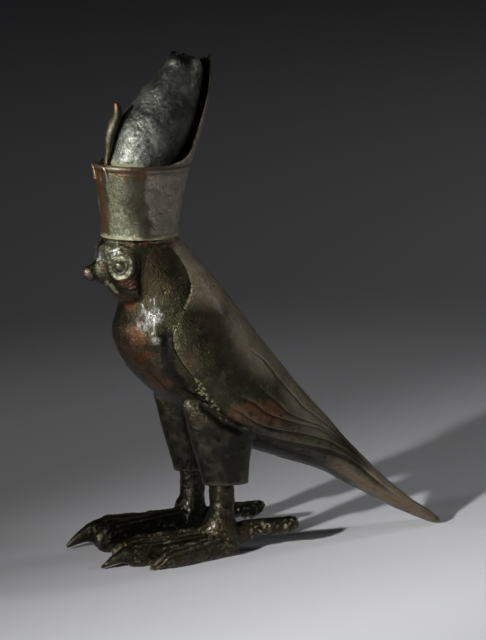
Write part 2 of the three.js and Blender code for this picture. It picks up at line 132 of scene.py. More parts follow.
def limb(rows, sides, lean):
    """A round form along a route. Rows are [x, y, z, reach sideways, reach upright], and each ring stands
    square to the route, its upright as near to the lean as that allows. What would be under the ground is
    laid flat on it."""
    rows = np.asarray(rows, float)
    route = rows[:, :3]
    along = np.vstack([route[1] - route[0], route[2:] - route[:-2], route[-1] - route[-2]])
    along /= np.linalg.norm(along, axis=1)[:, None]
    sideways = np.cross(np.asarray(lean, float), along)
    sideways /= np.linalg.norm(sideways, axis=1)[:, None]
    upright = np.cross(along, sideways)
    turn = np.linspace(0, 2 * np.pi, sides, endpoint=False)
    rings = (
        route[:, None]
        + sideways[:, None] * (rows[:, 3, None] * np.sin(turn))[..., None]
        + upright[:, None] * (rows[:, 4, None] * np.cos(turn))[..., None]
    )
    rings[..., 2] = np.maximum(rings[..., 2], 0)
    return closed_tube(rings)


def turn_at(place, widest):
    """The angle round a cut at a place on it: 0 at the back, a quarter turn at the widest place."""
    near = np.arccos(np.clip(1 - place / widest, -1, 1))
    far = np.arccos(np.clip((widest - place) / (1 - widest), -1, 1))
    return np.where(place < widest, near, far)


def body_form():
    """Cuts of the body skinned in order. Past the wing edge the surface drops by the step, and rises again
    to the middle of the belly."""
    rows = smooth_rows(body_stations, 12)
    back, belly = rows[:, 0:2], rows[:, 2:4]
    half, widest, edge, step = rows[:, 4:8].T[:, :, None]
    past_edge = np.linspace(first_side_past_edge, 1, sides_on_belly)
    across = np.concatenate([np.linspace(0, 1, sides_on_wing), 1 + past_edge])
    edge_turn = turn_at(edge, widest)
    turn = np.where(across <= 1, across * edge_turn, edge_turn + (np.pi - edge_turn) * (across - 1))
    past = np.clip(across - 1, 0, 1)
    inset = wing_step * step * np.where(past > 0, (1 - past) ** 2, 0)
    near_back = widest * (1 - np.cos(turn))
    near_belly = widest - (1 - widest) * np.cos(turn)
    place = np.where(turn < np.pi / 2, near_back, near_belly)
    cut = np.zeros(turn.shape + (3,))
    cut[..., 0] = half * np.sin(turn)
    cut[..., 1:] = back[:, None] + (belly - back)[:, None] * place[..., None]
    middle = np.zeros_like(cut[:, :1])
    middle[..., 1:] = (back + (belly - back) * widest)[:, None]
    inward = middle - cut
    inward /= np.linalg.norm(inward, axis=2)[..., None]
    cut += inward * inset[..., None]
    other_side = cut[:, 1:-1][:, ::-1] * np.array([-1, 1, 1])
    rings = np.concatenate([cut, other_side], 1)
    rings[..., 2] = np.maximum(rings[..., 2], 0)
    return closed_tube(rings)


# Each row of the face is [z, middle y, reach forward, reach back, half width].
face_rows = [
    [134.5, -62.5, 6.0, 6.0, 8.5],
    [138.5, -64.5, 8.4, 5.5, 13.5],
    [143.0, -67.5, 8.6, 5.0, 16.8],
    [147.5, -69.0, 10.2, 5.5, 18.2],
    [152.5, -69.2, 11.8, 5.5, 18.6],
    [158.0, -69.2, 13.0, 6.0, 18.7],
    [163.0, -68.6, 13.6, 9.0, 18.5],
    [166.6, -67.0, 14.2, 16.0, 18.4],
    [169.2, -64.0, 14.6, 20.0, 18.6],
]


def face_form():
    """Level cuts of the face, each a half oval forward and a half oval back about its middle."""
    z, y, forward, back, half = smooth_rows(face_rows, 6).T[:, :, None]
    turn = np.linspace(0, 2 * np.pi, 120, endpoint=False)
    reach = np.where(np.cos(turn) > 0, forward, back)
    rings = np.stack([half * np.sin(turn), y - reach * np.cos(turn), z + 0 * turn], -1)
    return closed_tube(rings)


# The face runs forward in a blunt cone, and the beak sits on it as a small upright knob:
# rows of [x, y, z, half width, half height].
nose_rows = [
    [0, -73.0, 153.4, 11.5, 9.6],
    [0, -78.0, 153.4, 9.0, 8.6],
    [0, -82.0, 153.4, 5.8, 6.9],
    [0, -84.6, 153.2, 3.6, 5.2],
    [0, -85.8, 153.0, 1.8, 3.0],
]
beak_rows = [
    [0, -83.8, 152.2, 1.6, 2.6],
    [0, -85.8, 152.3, 3.0, 4.5],
    [0, -87.8, 151.6, 3.0, 4.6],
    [0, -89.4, 150.6, 2.1, 3.3],
    [0, -90.2, 150.0, 0.8, 1.4],
]
upward = (0, 0, 1)
rearward = (0, 1, 0)

# The crown stands on a round flange on top of the head.
falcon_height = 170.0
crown_axis_y = -59.2
flange_radius = 20.4
flange_thickness = 1.6


def flange_form():
    """An upright round disc with a softened rim."""
    levels = np.array([0.0, 0.12, 0.3, 0.7, 0.88, 1.0])
    shrink = np.array([0.5, 0.15, 0.0, 0.0, 0.15, 0.45])
    turn = np.linspace(0, 2 * np.pi, 160, endpoint=False)
    radius = (flange_radius - shrink)[:, None]
    z = (falcon_height - flange_thickness * (1 - levels))[:, None]
    rings = np.stack([radius * np.sin(turn), crown_axis_y + radius * np.cos(turn), z + 0 * turn], -1)
    return closed_tube(rings)


leg_x = 19.2
# Each row of the thigh is [forward y, rear y, z, half width].
thigh_rows = [
    [-36.0, -8.0, 93.0, 5.5],
    [-41.5, 0.0, 88.5, 7.0],
    [-43.4, 3.0, 82.0, 9.0],
    [-41.6, 2.0, 75.0, 9.8],
    [-40.0, -0.5, 68.0, 9.8],
    [-37.2, -5.4, 58.0, 9.4],
    [-34.0, -7.0, 48.0, 8.8],
    [-31.4, -7.2, 38.4, 8.2],
]
rear_squareness = 0.55


def thigh_form(side):
    """Level cuts of a thigh: a half oval in front, and a squared half oval behind."""
    front, rear, z, half = smooth_rows(thigh_rows, 8).T[:, :, None]
    turn = np.linspace(0, 2 * np.pi, 120, endpoint=False)
    power = np.where(np.cos(turn) < -1e-9, rear_squareness, 1.0)
    across = np.sign(np.sin(turn)) * np.abs(np.sin(turn)) ** power
    along = np.sign(np.cos(turn)) * np.abs(np.cos(turn)) ** power
    y = (front + rear) / 2 - (rear - front) / 2 * along
    return closed_tube(np.stack([side * leg_x + half * across, y, z + 0 * turn], -1))


def mesh_in_drawing(name, forms):
    """One mesh in millimetres of the drawing from several closed forms."""
    counts = np.cumsum([0] + [len(points) for points, _ in forms])
    points = np.vstack([points for points, _ in forms])
    faces = np.vstack([faces + start for (_, faces), start in zip(forms, counts)])
    mesh = bpy.data.meshes.new(name)
    mesh.from_pydata(points.tolist(), [], faces.tolist())
    mesh.update()
    return mesh


def piece_from(name, mesh):
    """A new object at the origin that shows a mesh."""
    piece = bpy.data.objects.new(name, mesh)
    bpy.context.scene.collection.objects.link(piece)
    return piece


def finish_modifier(piece, kind, **settings):
    """Adds a modifier with these settings and keeps its result as the piece's mesh."""
    modifier = piece.modifiers.new(kind.title(), kind)
    for name, value in settings.items():
        setattr(modifier, name, value)
    graph = bpy.context.evaluated_depsgraph_get()
    result = bpy.data.meshes.new_from_object(piece.evaluated_get(graph))
    piece.modifiers.clear()
    old = piece.data
    piece.data = result
    bpy.data.meshes.remove(old)


def points_of(mesh):
    """All the points of a mesh as rows of x, y, z."""
    flat = np.empty(len(mesh.vertices) * 3, np.float32)
    mesh.vertices.foreach_get("co", flat)
    return flat.reshape(-1, 3).astype(float)


def normals_of(mesh):
    """The outward direction at each point of a mesh."""
    flat = np.empty(len(mesh.vertices) * 3, np.float32)
    mesh.vertex_normals.foreach_get("vector", flat)
    return flat.reshape(-1, 3).astype(float)


def set_points(mesh, points):
    """Puts new places into the points of a mesh."""
    mesh.vertices.foreach_set("co", points.astype(np.float32).ravel())
    mesh.update()


def neighbour_mean(mesh):
    """A function that gives the mean of each point's neighbours, for any rows of values on the points."""
    ends = np.empty(len(mesh.edges) * 2, np.int32)
    mesh.edges.foreach_get("vertices", ends)
    a, b = ends.reshape(-1, 2).T
    count = len(mesh.vertices)
    near = np.maximum(np.bincount(a, minlength=count) + np.bincount(b, minlength=count), 1)

    def mean(values):
        columns = [
            (np.bincount(a, column[b], count) + np.bincount(b, column[a], count)) / near
            for column in values.T
        ]
        return np.stack(columns, 1)

    return mean


def relax(mesh, rounds, weight=0.6):
    """Moves each point toward the mean of its neighbours and back, a little further, so that nothing
    shrinks."""
    mean = neighbour_mean(mesh)
    points = points_of(mesh)
    for _ in range(rounds):
        points += weight * (mean(points) - points)
        points -= weight * 1.04 * (mean(points) - points)
    set_points(mesh, points)


def soften(mesh, weight, rounds):
    """Draws each point to the mean of its neighbours by its own weight from 0 to 1, which fills creases."""
    mean = neighbour_mean(mesh)
    points = points_of(mesh)
    for _ in range(rounds):
        points += weight[:, None] * (mean(points) - points)
    set_points(mesh, points)


def rise(distance, reach):
    """1 at no distance, falling as a bell to nothing at about twice the reach."""
    return np.exp(-((distance / reach) ** 2))


def soft_step(value, low, high):
    """0 below low and 1 above high, with a smooth run between."""
    t = np.clip((value - low) / (high - low), 0, 1)
    return t * t * (3 - 2 * t)


def soft_drop(value, low, high):
    """1 below low and 0 above high, with a smooth run between."""
    return 1 - soft_step(value, low, high)


def between(value, low, low_full, high_full, high):
    """1 from low_full to high_full and 0 beyond low and high, with smooth runs between."""
    return soft_step(value, low, low_full) * soft_drop(value, high_full, high)


def line_distance(points, path):
    """How far each point is from a path of straight runs."""
    path = np.asarray(path, float)
    nearest = np.full(len(points), np.inf)
    for start, end in zip(path[:-1], path[1:]):
        along = end - start
        t = np.clip((points - start) @ along / (along @ along), 0, 1)
        gap = np.linalg.norm(points - start - t[:, None] * along, axis=1)
        nearest = np.minimum(nearest, gap)
    return nearest


def folded_over(points):
    """The points with the right side mirrored onto the left, because most forms are the same on both."""
    folded = points.copy()
    folded[:, 0] = np.abs(folded[:, 0])
    return folded


def patch(points, rows):
    """The strongest of several soft patches on both sides. Rows are [x, y, z, reach x, reach y, reach z,
    strength]. A patch is at full strength to 0.45 of its reach and fades to nothing at its reach."""
    total = np.zeros(len(points))
    folded = folded_over(points)
    for row in np.asarray(rows, float):
        gap = np.linalg.norm((folded - row[:3]) / row[3:6], axis=1)
        total = np.maximum(total, row[6] * soft_drop(gap, 0.45, 1.0))
    return total


lattice_size = 32
octave_shift = 7.3


def lumps(points, size, seed, octaves=3):
    """Smooth random lumps from about -1 to 1, about size across: values on a lattice, blended by smooth
    steps, and more lattices added, each twice as fine as the one before and half as strong."""
    draws = np.random.default_rng(seed).uniform(-1, 1, (lattice_size,) * 3)
    total = np.zeros(len(points))
    for octave in range(octaves):
        place = points * (2**octave / size) + octave_shift * octave
        cell = np.floor(place).astype(int)
        t = soft_step(place - cell, 0, 1)
        value = np.zeros(len(points))
        for corner in np.ndindex(2, 2, 2):
            weight = np.prod(np.where(corner, t, 1 - t), axis=1)
            i, j, k = ((cell + corner) % lattice_size).T
            value += weight * draws[i, j, k]
        total += value / 2**octave
    return total


dense_per_station = 24
dense_stations = smooth_rows(body_stations, dense_per_station)
station_numbers = np.arange(len(dense_stations)) / dense_per_station
halvings = 22


def wing_space(points):
    """Where each point lies on the body: the number of the cut through it, and its share of the way from
    the middle of the back, 0, to the wing edge, 1. The cut is found by halving, because a point is beyond
    all the cuts before its own."""
    y, z = points[:, 1], points[:, 2]
    low, high = np.zeros(len(points)), np.full(len(points), station_numbers[-1])

    def row(number, column):
        return np.interp(number, station_numbers, dense_stations[:, column])

    for _ in range(halvings):
        number = (low + high) / 2
        back_y, back_z, belly_y, belly_z = (row(number, k) for k in range(4))
        cross = (belly_y - back_y) * (z - back_z) - (belly_z - back_z) * (y - back_y)
        beyond = cross > 0
        low = np.where(beyond, number, low)
        high = np.where(beyond, high, number)
    back = np.stack([row(number, 0), row(number, 1)], 1)
    belly = np.stack([row(number, 2), row(number, 3)], 1)
    span = belly - back
    place = np.einsum("ij,ij->i", points[:, 1:] - back, span) / np.einsum("ij,ij->i", span, span)
    widest, edge = row(number, 5), row(number, 6)
    turn = turn_at(np.clip(place, 0, 1), widest)
    return number, turn / turn_at(edge, widest)


# Long feathers end in these cut lines: (cut numbers, shares across the wing).
feather_lines = [
    ([6.3, 7.5, 8.5, 9.5, 10.5, 11.8], [0.23, 0.19, 0.20, 0.26, 0.40, 0.55]),
    ([4.9, 5.5, 6.4, 7.2, 8.2, 9.3, 10.5, 11.7], [0.48, 0.41, 0.40, 0.37, 0.36, 0.43, 0.58, 0.74]),
    ([6.3, 7.0, 7.4, 8.6, 9.65, 10.8, 11.7], [0.61, 0.56, 0.53, 0.51, 0.53, 0.68, 0.84]),
    ([6.7, 7.2, 7.65, 8.0, 9.0, 9.9], [0.76, 0.68, 0.65, 0.61, 0.58, 0.59]),
    ([7.2, 7.55, 8.3, 8.8, 9.4, 10.4, 11.4], [0.88, 0.81, 0.78, 0.77, 0.76, 0.82, 0.91]),
]
feather_cut_depth, feather_cut_reach = 0.75, 0.65
feather_overlap, feather_overlap_reach = 0.4, 3.5
# A low ridge runs along the wing tip at this share across the wing, and a fine cut down the back.
tip_ridge_share, tip_ridge_height, tip_ridge_reach = 0.62, 0.45, 0.9
back_cut_depth, back_cut_reach = 0.35, 0.7


def feather_relief(number, across):
    """Height and darkness of the feather cuts. Each is a bell across its line, with the feather above it a
    little proud and the one below it low."""
    rows = dense_stations
    chord = np.hypot(rows[:, 2] - rows[:, 0], rows[:, 3] - rows[:, 1])
    arc = turn_at(rows[:, 6], rows[:, 5]) * (rows[:, 4] + chord / 2) / 2
    arc = np.interp(number, station_numbers, arc)
    lift, cut = np.zeros(len(number)), np.zeros(len(number))
    for numbers, shares in feather_lines:
        first, last = numbers[0], numbers[-1]
        gap = (across - np.interp(number, numbers, shares)) * arc
        ends = between(number, first - 0.1, first + 0.5, last - 0.3, last + 0.1)
        mark = rise(gap, feather_cut_reach) * ends
        cut = np.maximum(cut, mark)
        overlap = rise(gap, feather_overlap_reach) * np.where(gap < 0, 1, -1)
        lift += feather_overlap * ends * overlap * (1 - mark)
    tip_ridge = rise((across - tip_ridge_share) * arc, tip_ridge_reach)
    tip_ridge *= between(number, 11.6, 12.6, 16, 17)
    back_cut = rise(across * arc, back_cut_reach) * between(number, 3.5, 4.5, 12.5, 13.5)
    lift += tip_ridge_height * tip_ridge - feather_cut_depth * cut - back_cut_depth * back_cut
    return lift, np.maximum(cut, 0.7 * back_cut)


# Eyes: a small ball in a groove, a shallow disc with a ring in it and a raised lip, and fine arcs behind it
# on the cheek. The lip swells toward its lower side, and a painted shadow lies below it.
eye_place = np.array([15.0, -77.0, 157.2])
eye_facing = np.array([0.78, -0.62, 0.04])
eye_facing /= np.linalg.norm(eye_facing)
ball_radius, ball_height = 2.4, 1.5
groove_radius, groove_depth, groove_reach = 3.2, 0.3, 0.5
disc_edges, disc_depth = (3.2, 4.6, 5.6, 6.8), 0.2
ring_radius, ring_depth, ring_reach = 4.9, 0.15, 0.4
lip_radius, lip_height, lip_swell, lip_reach = 7.0, 0.05, 0.40, 0.8
lip_shadow_radius, lip_shadow_reach = 8.3, 0.5
arc_radii, arc_depth, arc_reach = (8.8, 10.5, 12.0), 0.34, 0.42


def eye_relief(folded):
    """Height and darkness as functions of the distance from the line of sight of the eye."""
    offset = folded - eye_place
    ahead = offset @ eye_facing
    flat = offset - ahead[:, None] * eye_facing
    r = np.linalg.norm(flat, axis=1)
    near = soft_drop(np.abs(ahead), 6, 9)
    behind = soft_step(flat[:, 1], 0.5, 3.5) * soft_drop(flat[:, 2], 1.0, 5.0)
    below = soft_step(-flat[:, 2], -4.0, 3.0)
    groove = rise(r - groove_radius, groove_reach)
    lift = ball_height * np.sqrt(np.clip(1 - (r / ball_radius) ** 2, 0, 1)) - groove_depth * groove
    lift -= disc_depth * between(r, *disc_edges) + ring_depth * rise(r - ring_radius, ring_reach)
    lift += (lip_height + lip_swell * below) * rise(r - lip_radius, lip_reach)
    # Below the lip the skin is darkened by a painted shadow, which goes out with the darkness of the cuts.
    cut = 0.6 * groove + 0.5 * below * rise(r - lip_shadow_radius, lip_shadow_reach)
    for radius in arc_radii:
        lift -= arc_depth * rise(r - radius, arc_reach) * behind
        cut = np.maximum(cut, rise(r - radius, 0.4) * behind)
    return lift * near, cut * near


cheek_edge_y, cheek_edge_height = -66.4, 0.2
beak_back_y, beak_middle_z = -84.9, 152
brow_height = 0.45
bridge_line = [[0, -84.5, 159.0], [7, -80.5, 158.0]]
brow_line = [[16.2, -73.5, 165.0], [14.9, -76.1, 165.3], [13.3, -78.1, 164.4], [10.8, -80.4, 162.3],
             [6.5, -83.0, 158.5]]
mouth_line = [[2.0, -86.4, 148.7], [4.7, -84.2, 150.5], [6.3, -80.9, 149.5], [6.9, -77.8, 146.7]]
jaw_line = [[12.0, -75.5, 145.2], [14.5, -73.0, 144.4], [16.8, -69.5, 144.4], [17.4, -66.6, 145.6]]
breast_hollow = [[26.4, -55.0, 119.5], [26.0, -54.6, 110.8], [24.2, -52.8, 101.9], [25.5, -47.0, 93.0]]
breast_swell = [[21.0, -60.0, 130.0], [22.8, -60.5, 119.0]]
thigh_ridge = [[22.6, -45.0, 86.6], [27.1, -38.4, 80.2], [29.4, -32.4, 74.7], [30.4, -25.5, 68.4]]
wing_groove = [[23.5, -44.0, 90.0], [27.5, -37.0, 83.5], [29.0, -30.5, 78.0], [29.5, -24.0, 72.5],
               [29.0, -16.0, 69.5]]
breast_cuts = [
    [[18.6, -58.4, 102.6], [19.9, -53.2, 96.4], [19.9, -49.9, 93.0], [20.6, -46.2, 90.2]],
    [[15.4, -60.8, 101.0], [16.8, -56.0, 96.0], [17.0, -52.0, 92.0]],
]
neck_cut = [[19.2, -57.0, 159.5], [19.9, -54.4, 155.5], [20.6, -52.8, 153.4]]
# Each form or cut is (its line, its height over the skin, the reach of its bell).
carved_lines = [
    (breast_hollow, -1.5, 3.4),
    (breast_swell, 0.7, 4.0),
    (wing_groove, -1.6, 2.6),
    (thigh_ridge, 0.9, 0.9),
    (breast_cuts[0], -0.35, 0.5),
    (breast_cuts[1], -0.35, 0.5),
    (neck_cut, -0.2, 0.5),
]

# The way from the middle of the back to the wing edge is about this long.
wing_edge_width = 40


def wing_edge_crust(points, number, across):
    """Speckles along the mantle's edge, and ragged pale crust along the wing's edge as far as the thigh."""
    low = soft_step(number, 5.6, 6.4)
    from_edge = (across - 1.0) * wing_edge_width
    band = (0.4 + 0.6 * low) * rise(from_edge, 0.9 + 1.0 * low) * between(number, 0.2, 0.6, 8.0, 8.8)
    return band * soft_step(lumps(points, 1.6, seed=6), 0.15 - 0.35 * low, 0.55)


crust_places = [
    [6.2, -77.5, 144.5, 5.0, 7.5, 6.5, 0.8],
    [18.0, -57.0, 168.6, 12.0, 24.0, 4.0, 0.45],
    [3.0, -78.0, 168.6, 18.0, 6.0, 3.4, 0.3],
    [27.0, -40.0, 82.0, 4.0, 6.0, 6.0, 0.45],
]


def crust_in_places(points):
    """Ragged crust in its places on the body."""
    return patch(points, crust_places) * soft_step(lumps(points, 2.6, seed=5), -0.25, 0.35)


def head_relief(folded):
    """Height and darkness on the head. The forehead stands proud above the brow line, and mouth, jaw and
    the back of the beak are cut in."""
    x, y, z = folded.T
    brow = np.array(brow_line)[::-1]
    above = z - np.interp(y, brow[:, 1], brow[:, 2])
    on_face = soft_drop(y, -73.0, -69.0) * soft_step(z, 154, 157)
    lift = brow_height * soft_step(above, -0.4, 1.2) * soft_drop(z, 164.5, 168.5) * on_face
    brow_cut = rise(line_distance(folded, brow_line), 0.5)
    mouth = rise(line_distance(folded, mouth_line), 0.55)
    jaw = rise(line_distance(folded, jaw_line), 0.6)
    behind_beak = rise(y - beak_back_y, 0.8) * soft_drop(x, 5, 7)
    behind_beak *= soft_drop(np.abs(z - beak_middle_z), 4, 6)
    lift -= 0.35 * brow_cut + 0.5 * mouth + 0.5 * jaw + 0.15 * behind_beak
    return lift, np.maximum.reduce([0.7 * brow_cut, mouth, jaw, 0.4 * behind_beak])


def crease_weight(folded):
    """1 in the creases that were smoothed away in the wax, behind the cheeks and on the beak's bridge."""
    cheek = rise(folded[:, 1] - cheek_edge_y, 3.0) * soft_step(folded[:, 2], 140, 144)
    cheek *= soft_step(folded[:, 0], 8, 12)
    bridge = rise(line_distance(folded, bridge_line), 4.0)
    return np.maximum(cheek, bridge)


def fused_piece(name, forms, voxel, rounds):
    """Closed forms fused into one skin of small squares, whose seams are relaxed in so many rounds."""
    piece = piece_from(name, mesh_in_drawing(name, forms))
    finish_modifier(piece, "REMESH", mode="VOXEL", voxel_size=voxel, use_smooth_shade=True)
    relax(piece.data, rounds)
    return piece


def thin_to(piece, triangles):
    """Thins a skin of squares to about so many triangles, most where it is flattest."""
    ratio = triangles / (2 * len(piece.data.polygons))
    finish_modifier(piece, "DECIMATE", decimate_type="COLLAPSE", ratio=ratio)


body_voxel = 0.46
body_triangles = 196000
crease_rounds = 70
crust_height, edge_crust_height = 0.55, 0.45
body_lump_height, body_fine_lump_height, body_pit_depth = 0.16, 0.07, 0.22


def falcon_body():
    """The forms of head, body and thighs fused into one skin, then softened, cut and roughened."""
    forms = [body_form(), face_form(), flange_form(), thigh_form(1), thigh_form(-1)]
    forms += [limb(smooth_rows(rows, 6), 48, upward) for rows in (nose_rows, beak_rows)]
    piece = fused_piece("falcon_body", forms, body_voxel, rounds=10)
    soften(piece.data, crease_weight(folded_over(points_of(piece.data))), crease_rounds)
    points, outward = points_of(piece.data), normals_of(piece.data)
    folded = folded_over(points)
    number, across = wing_space(points)
    on_thigh = soft_drop(points[:, 2], 60, 66) * soft_drop(np.abs(points[:, 1] + 20), 22, 28)
    lift = feather_relief(number, across)[0] * (1 - on_thigh) * soft_step(number, 3, 4)
    lift += eye_relief(folded)[0] + head_relief(folded)[0]
    on_head = between(folded[:, 2], 141, 144, 160, 163) * soft_step(folded[:, 0], 9, 13)
    before_edge = soft_drop(folded[:, 1], cheek_edge_y - 1.2, cheek_edge_y + 1.2)
    lift += cheek_edge_height * before_edge * on_head
    for line, height, reach in carved_lines:
        lift += height * rise(line_distance(folded, line), reach)
    edge_crust = wing_edge_crust(points, number, across)
    lift += crust_height * crust_in_places(points) + edge_crust_height * edge_crust
    lift += body_lump_height * lumps(points, 7.0, seed=1)
    lift += body_fine_lump_height * lumps(points, 2.2, seed=2, octaves=2)
    lift -= body_pit_depth * soft_step(lumps(points, 1.9, seed=3, octaves=2), 0.62, 0.95)
    set_points(piece.data, points + outward * lift[:, None])
    relax(piece.data, rounds=1, weight=0.3)
    thin_to(piece, body_triangles)
    return piece


def place_in_frame(piece):
    """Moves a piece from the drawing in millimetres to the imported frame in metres, inside the CAD box."""
    points = (points_of(piece.data) + [0, drawing_shift, 0]) * metres_per_mm
    lowest, highest = (np.array(corner) for corner in cad_bounds)
    set_points(piece.data, np.clip(points, lowest, highest))
    piece.data.shade_smooth()


def paint(piece, **fields):
    """Stores a number from 0 to 1 on each point under each name, for the material to read."""
    for name, values in fields.items():
        field = piece.data.attributes.new(name, "FLOAT", "POINT")
        field.data.foreach_set("value", np.clip(values, 0, 1).astype(np.float32))


depth_rounds, depth_smoothing_rounds, depth_gain = 5, 2, 2.2


def hollowness(mesh):
    """From 0 on ridges to 1 in hollows, a half where the skin is even: how far the smoothed skin stands
    over each point along its outward direction."""
    mean = neighbour_mean(mesh)
    points, smoothed = points_of(mesh), points_of(mesh)
    for _ in range(depth_rounds):
        smoothed = mean(smoothed)
    depth = np.einsum("ij,ij->i", smoothed - points, normals_of(mesh))
    for _ in range(depth_smoothing_rounds):
        depth = mean(depth[:, None])[:, 0]
    return 0.5 + depth * depth_gain


copper_places = [
    [14.6, -71.0, 148.2, 6.5, 8.5, 4.6, 0.95],
    [7.0, -71.0, 137.6, 8.5, 9.0, 8.5, 1.0],
    [14.5, -54.0, 94.5, 12.0, 13.0, 9.5, 0.9],
    [12.0, -64.0, 112.0, 18.0, 16.0, 24.0, 0.62],
    [33.0, -7.0, 76.0, 9.0, 30.0, 14.0, 0.8],
    [22.0, -38.0, 118.0, 10.0, 30.0, 14.0, 0.25],
    [24.0, -14.0, 46.0, 14.0, 20.0, 13.0, 0.85],
    [0.0, -90.0, 151.6, 4.2, 4.6, 4.8, 1.0],
    [19.0, -63.5, 168.6, 4.0, 4.0, 2.6, 0.9],
    [16.0, -48.5, 167.0, 5.0, 3.6, 3.0, 0.9],
]
pale_places = [
    [15.0, -77.0, 157.0, 10.0, 9.0, 10.0, 0.75],
    [9.0, -80.5, 164.0, 11.0, 8.0, 8.0, 1.1],
    [5.0, -81.0, 153.0, 9.0, 9.0, 8.0, 0.35],
]
# Painted highlights, where the lamp shines back off the breast, the forehead and the beak.
polished_places = [
    [20.8, -60.3, 130.3, 5.5, 7.5, 6.0, 0.85],
    [23.7, -60.1, 118.4, 3.0, 3.0, 2.6, 1.0],
    [1.0, -82.0, 160.5, 4.0, 3.5, 4.0, 0.8],
    [12.5, -78.4, 164.3, 5.0, 2.6, 2.2, 1.0],
    [2.0, -89.3, 152.3, 2.2, 2.0, 2.0, 0.6],
]
tail_crest = [[18.5, 45.0, 44.0], [14.9, 56.4, 34.6], [12.2, 67.4, 27.0], [10.8, 88.9, 15.2],
              [9.6, 108.0, 6.4]]
tan_places = [
    [14.0, -30.0, 152.0, 26.0, 32.0, 28.0, 1.5],
    [18.0, 4.0, 118.0, 28.0, 38.0, 36.0, 1.2],
    [16.0, 38.0, 84.0, 28.0, 40.0, 34.0, 1.2],
    [6.0, 84.0, 26.0, 20.0, 50.0, 30.0, 1.4],
]


def paint_body(piece):
    """Where the body is worn to copper, tanned, crusted, cut, pale or hollow, and where it has painted
    shade and painted highlights.
    """
    points = points_of(piece.data)
    folded = folded_over(points)
    number, across = wing_space(points)
    cuts = [feather_relief(number, across)[1], eye_relief(folded)[1], head_relief(folded)[1]]
    cuts += [rise(line_distance(folded, line), 0.7) for line in breast_cuts]
    # The thighs, the hollow of the breast, the groove above the thigh and the underside of the wings get
    # painted shade.
    on_thigh = soft_drop(points[:, 2], 66, 78) * soft_drop(np.abs(points[:, 1] + 20), 20, 26)
    under_wing = soft_step(across, 1.02, 1.10) * between(number, 7.4, 8.2, 9.8, 11.4)
    in_hollow = rise(line_distance(folded, breast_hollow), 4.5)
    in_groove = rise(line_distance(folded, wing_groove), 3.4)
    to_crest = line_distance(folded, tail_crest)
    on_wing = across < 1.02
    paint(
        piece,
        copper=np.maximum(patch(points, copper_places), 0.75 * rise(to_crest, 2.4)),
        tan=np.maximum(patch(points, tan_places) * on_wing, 0.8 * rise(to_crest, 4.0)),
        polish=patch(points, polished_places),
        crust=np.maximum(crust_in_places(points), wing_edge_crust(points, number, across)),
        cut=np.maximum.reduce(cuts),
        shade=np.maximum.reduce([0.9 * in_hollow, in_groove, on_thigh, 0.9 * under_wing]),
        pale=patch(points, pale_places),
        hollow=hollowness(piece.data),
    )


class Field:
    """A shader socket of one material. Arithmetic on it adds Math nodes."""

    def __init__(self, tree, socket=None):
        self.tree = tree
        self.socket = socket

    def node(self, kind, settings, inputs, output=0):
        """Adds a node of this type, applies its settings, and fills its inputs with values or links."""
        made = self.tree.nodes.new(kind)
        for name, value in settings.items():
            setattr(made, name, value)
        for name, value in inputs.items():
            if isinstance(value, Field):
                self.tree.links.new(value.socket, made.inputs[name])
            else:
                made.inputs[name].default_value = value
        return Field(self.tree, made.outputs[output])

    def math(self, operation, *values):
        """One Math node on this field and other values."""
        inputs = dict(enumerate((self, *values)))
        return self.node("ShaderNodeMath", {"operation": operation}, inputs)

    def __add__(self, other):
        return self.math("ADD", other)

    __radd__ = __add__

    def __sub__(self, other):
        return self.math("SUBTRACT", other)

    def __rsub__(self, other):
        return self.math("MULTIPLY_ADD", -1.0, other)

    def __mul__(self, other):
        return self.math("MULTIPLY", other)

    __rmul__ = __mul__

    def at_most(self, other):
        """The smaller of this field and the other value."""
        return self.math("MINIMUM", other)

    def at_least(self, other):
        """The larger of this field and the other value."""
        return self.math("MAXIMUM", other)

    def step(self, low, high):
        """0 below low and 1 above high, with a smooth run between."""
        inputs = {0: self, 1: low, 2: high, 3: 0.0, 4: 1.0}
        return self.node("ShaderNodeMapRange", {"interpolation_type": "SMOOTHSTEP"}, inputs)

    def colours(self, below, above):
        """The first colour where this field is 0 and the second where it is 1."""
        ends = {0: self, 6: opaque(below), 7: opaque(above)}
        settings = {"data_type": "RGBA", "clamp_factor": True}
        return self.node("ShaderNodeMix", settings, ends, output=2)


def opaque(colour):
    """A colour of three numbers with its alpha, or a field as it is."""
    return colour if isinstance(colour, Field) else (*colour, 1.0)


wax_weight, wax_roughness = 0.12, 0.18


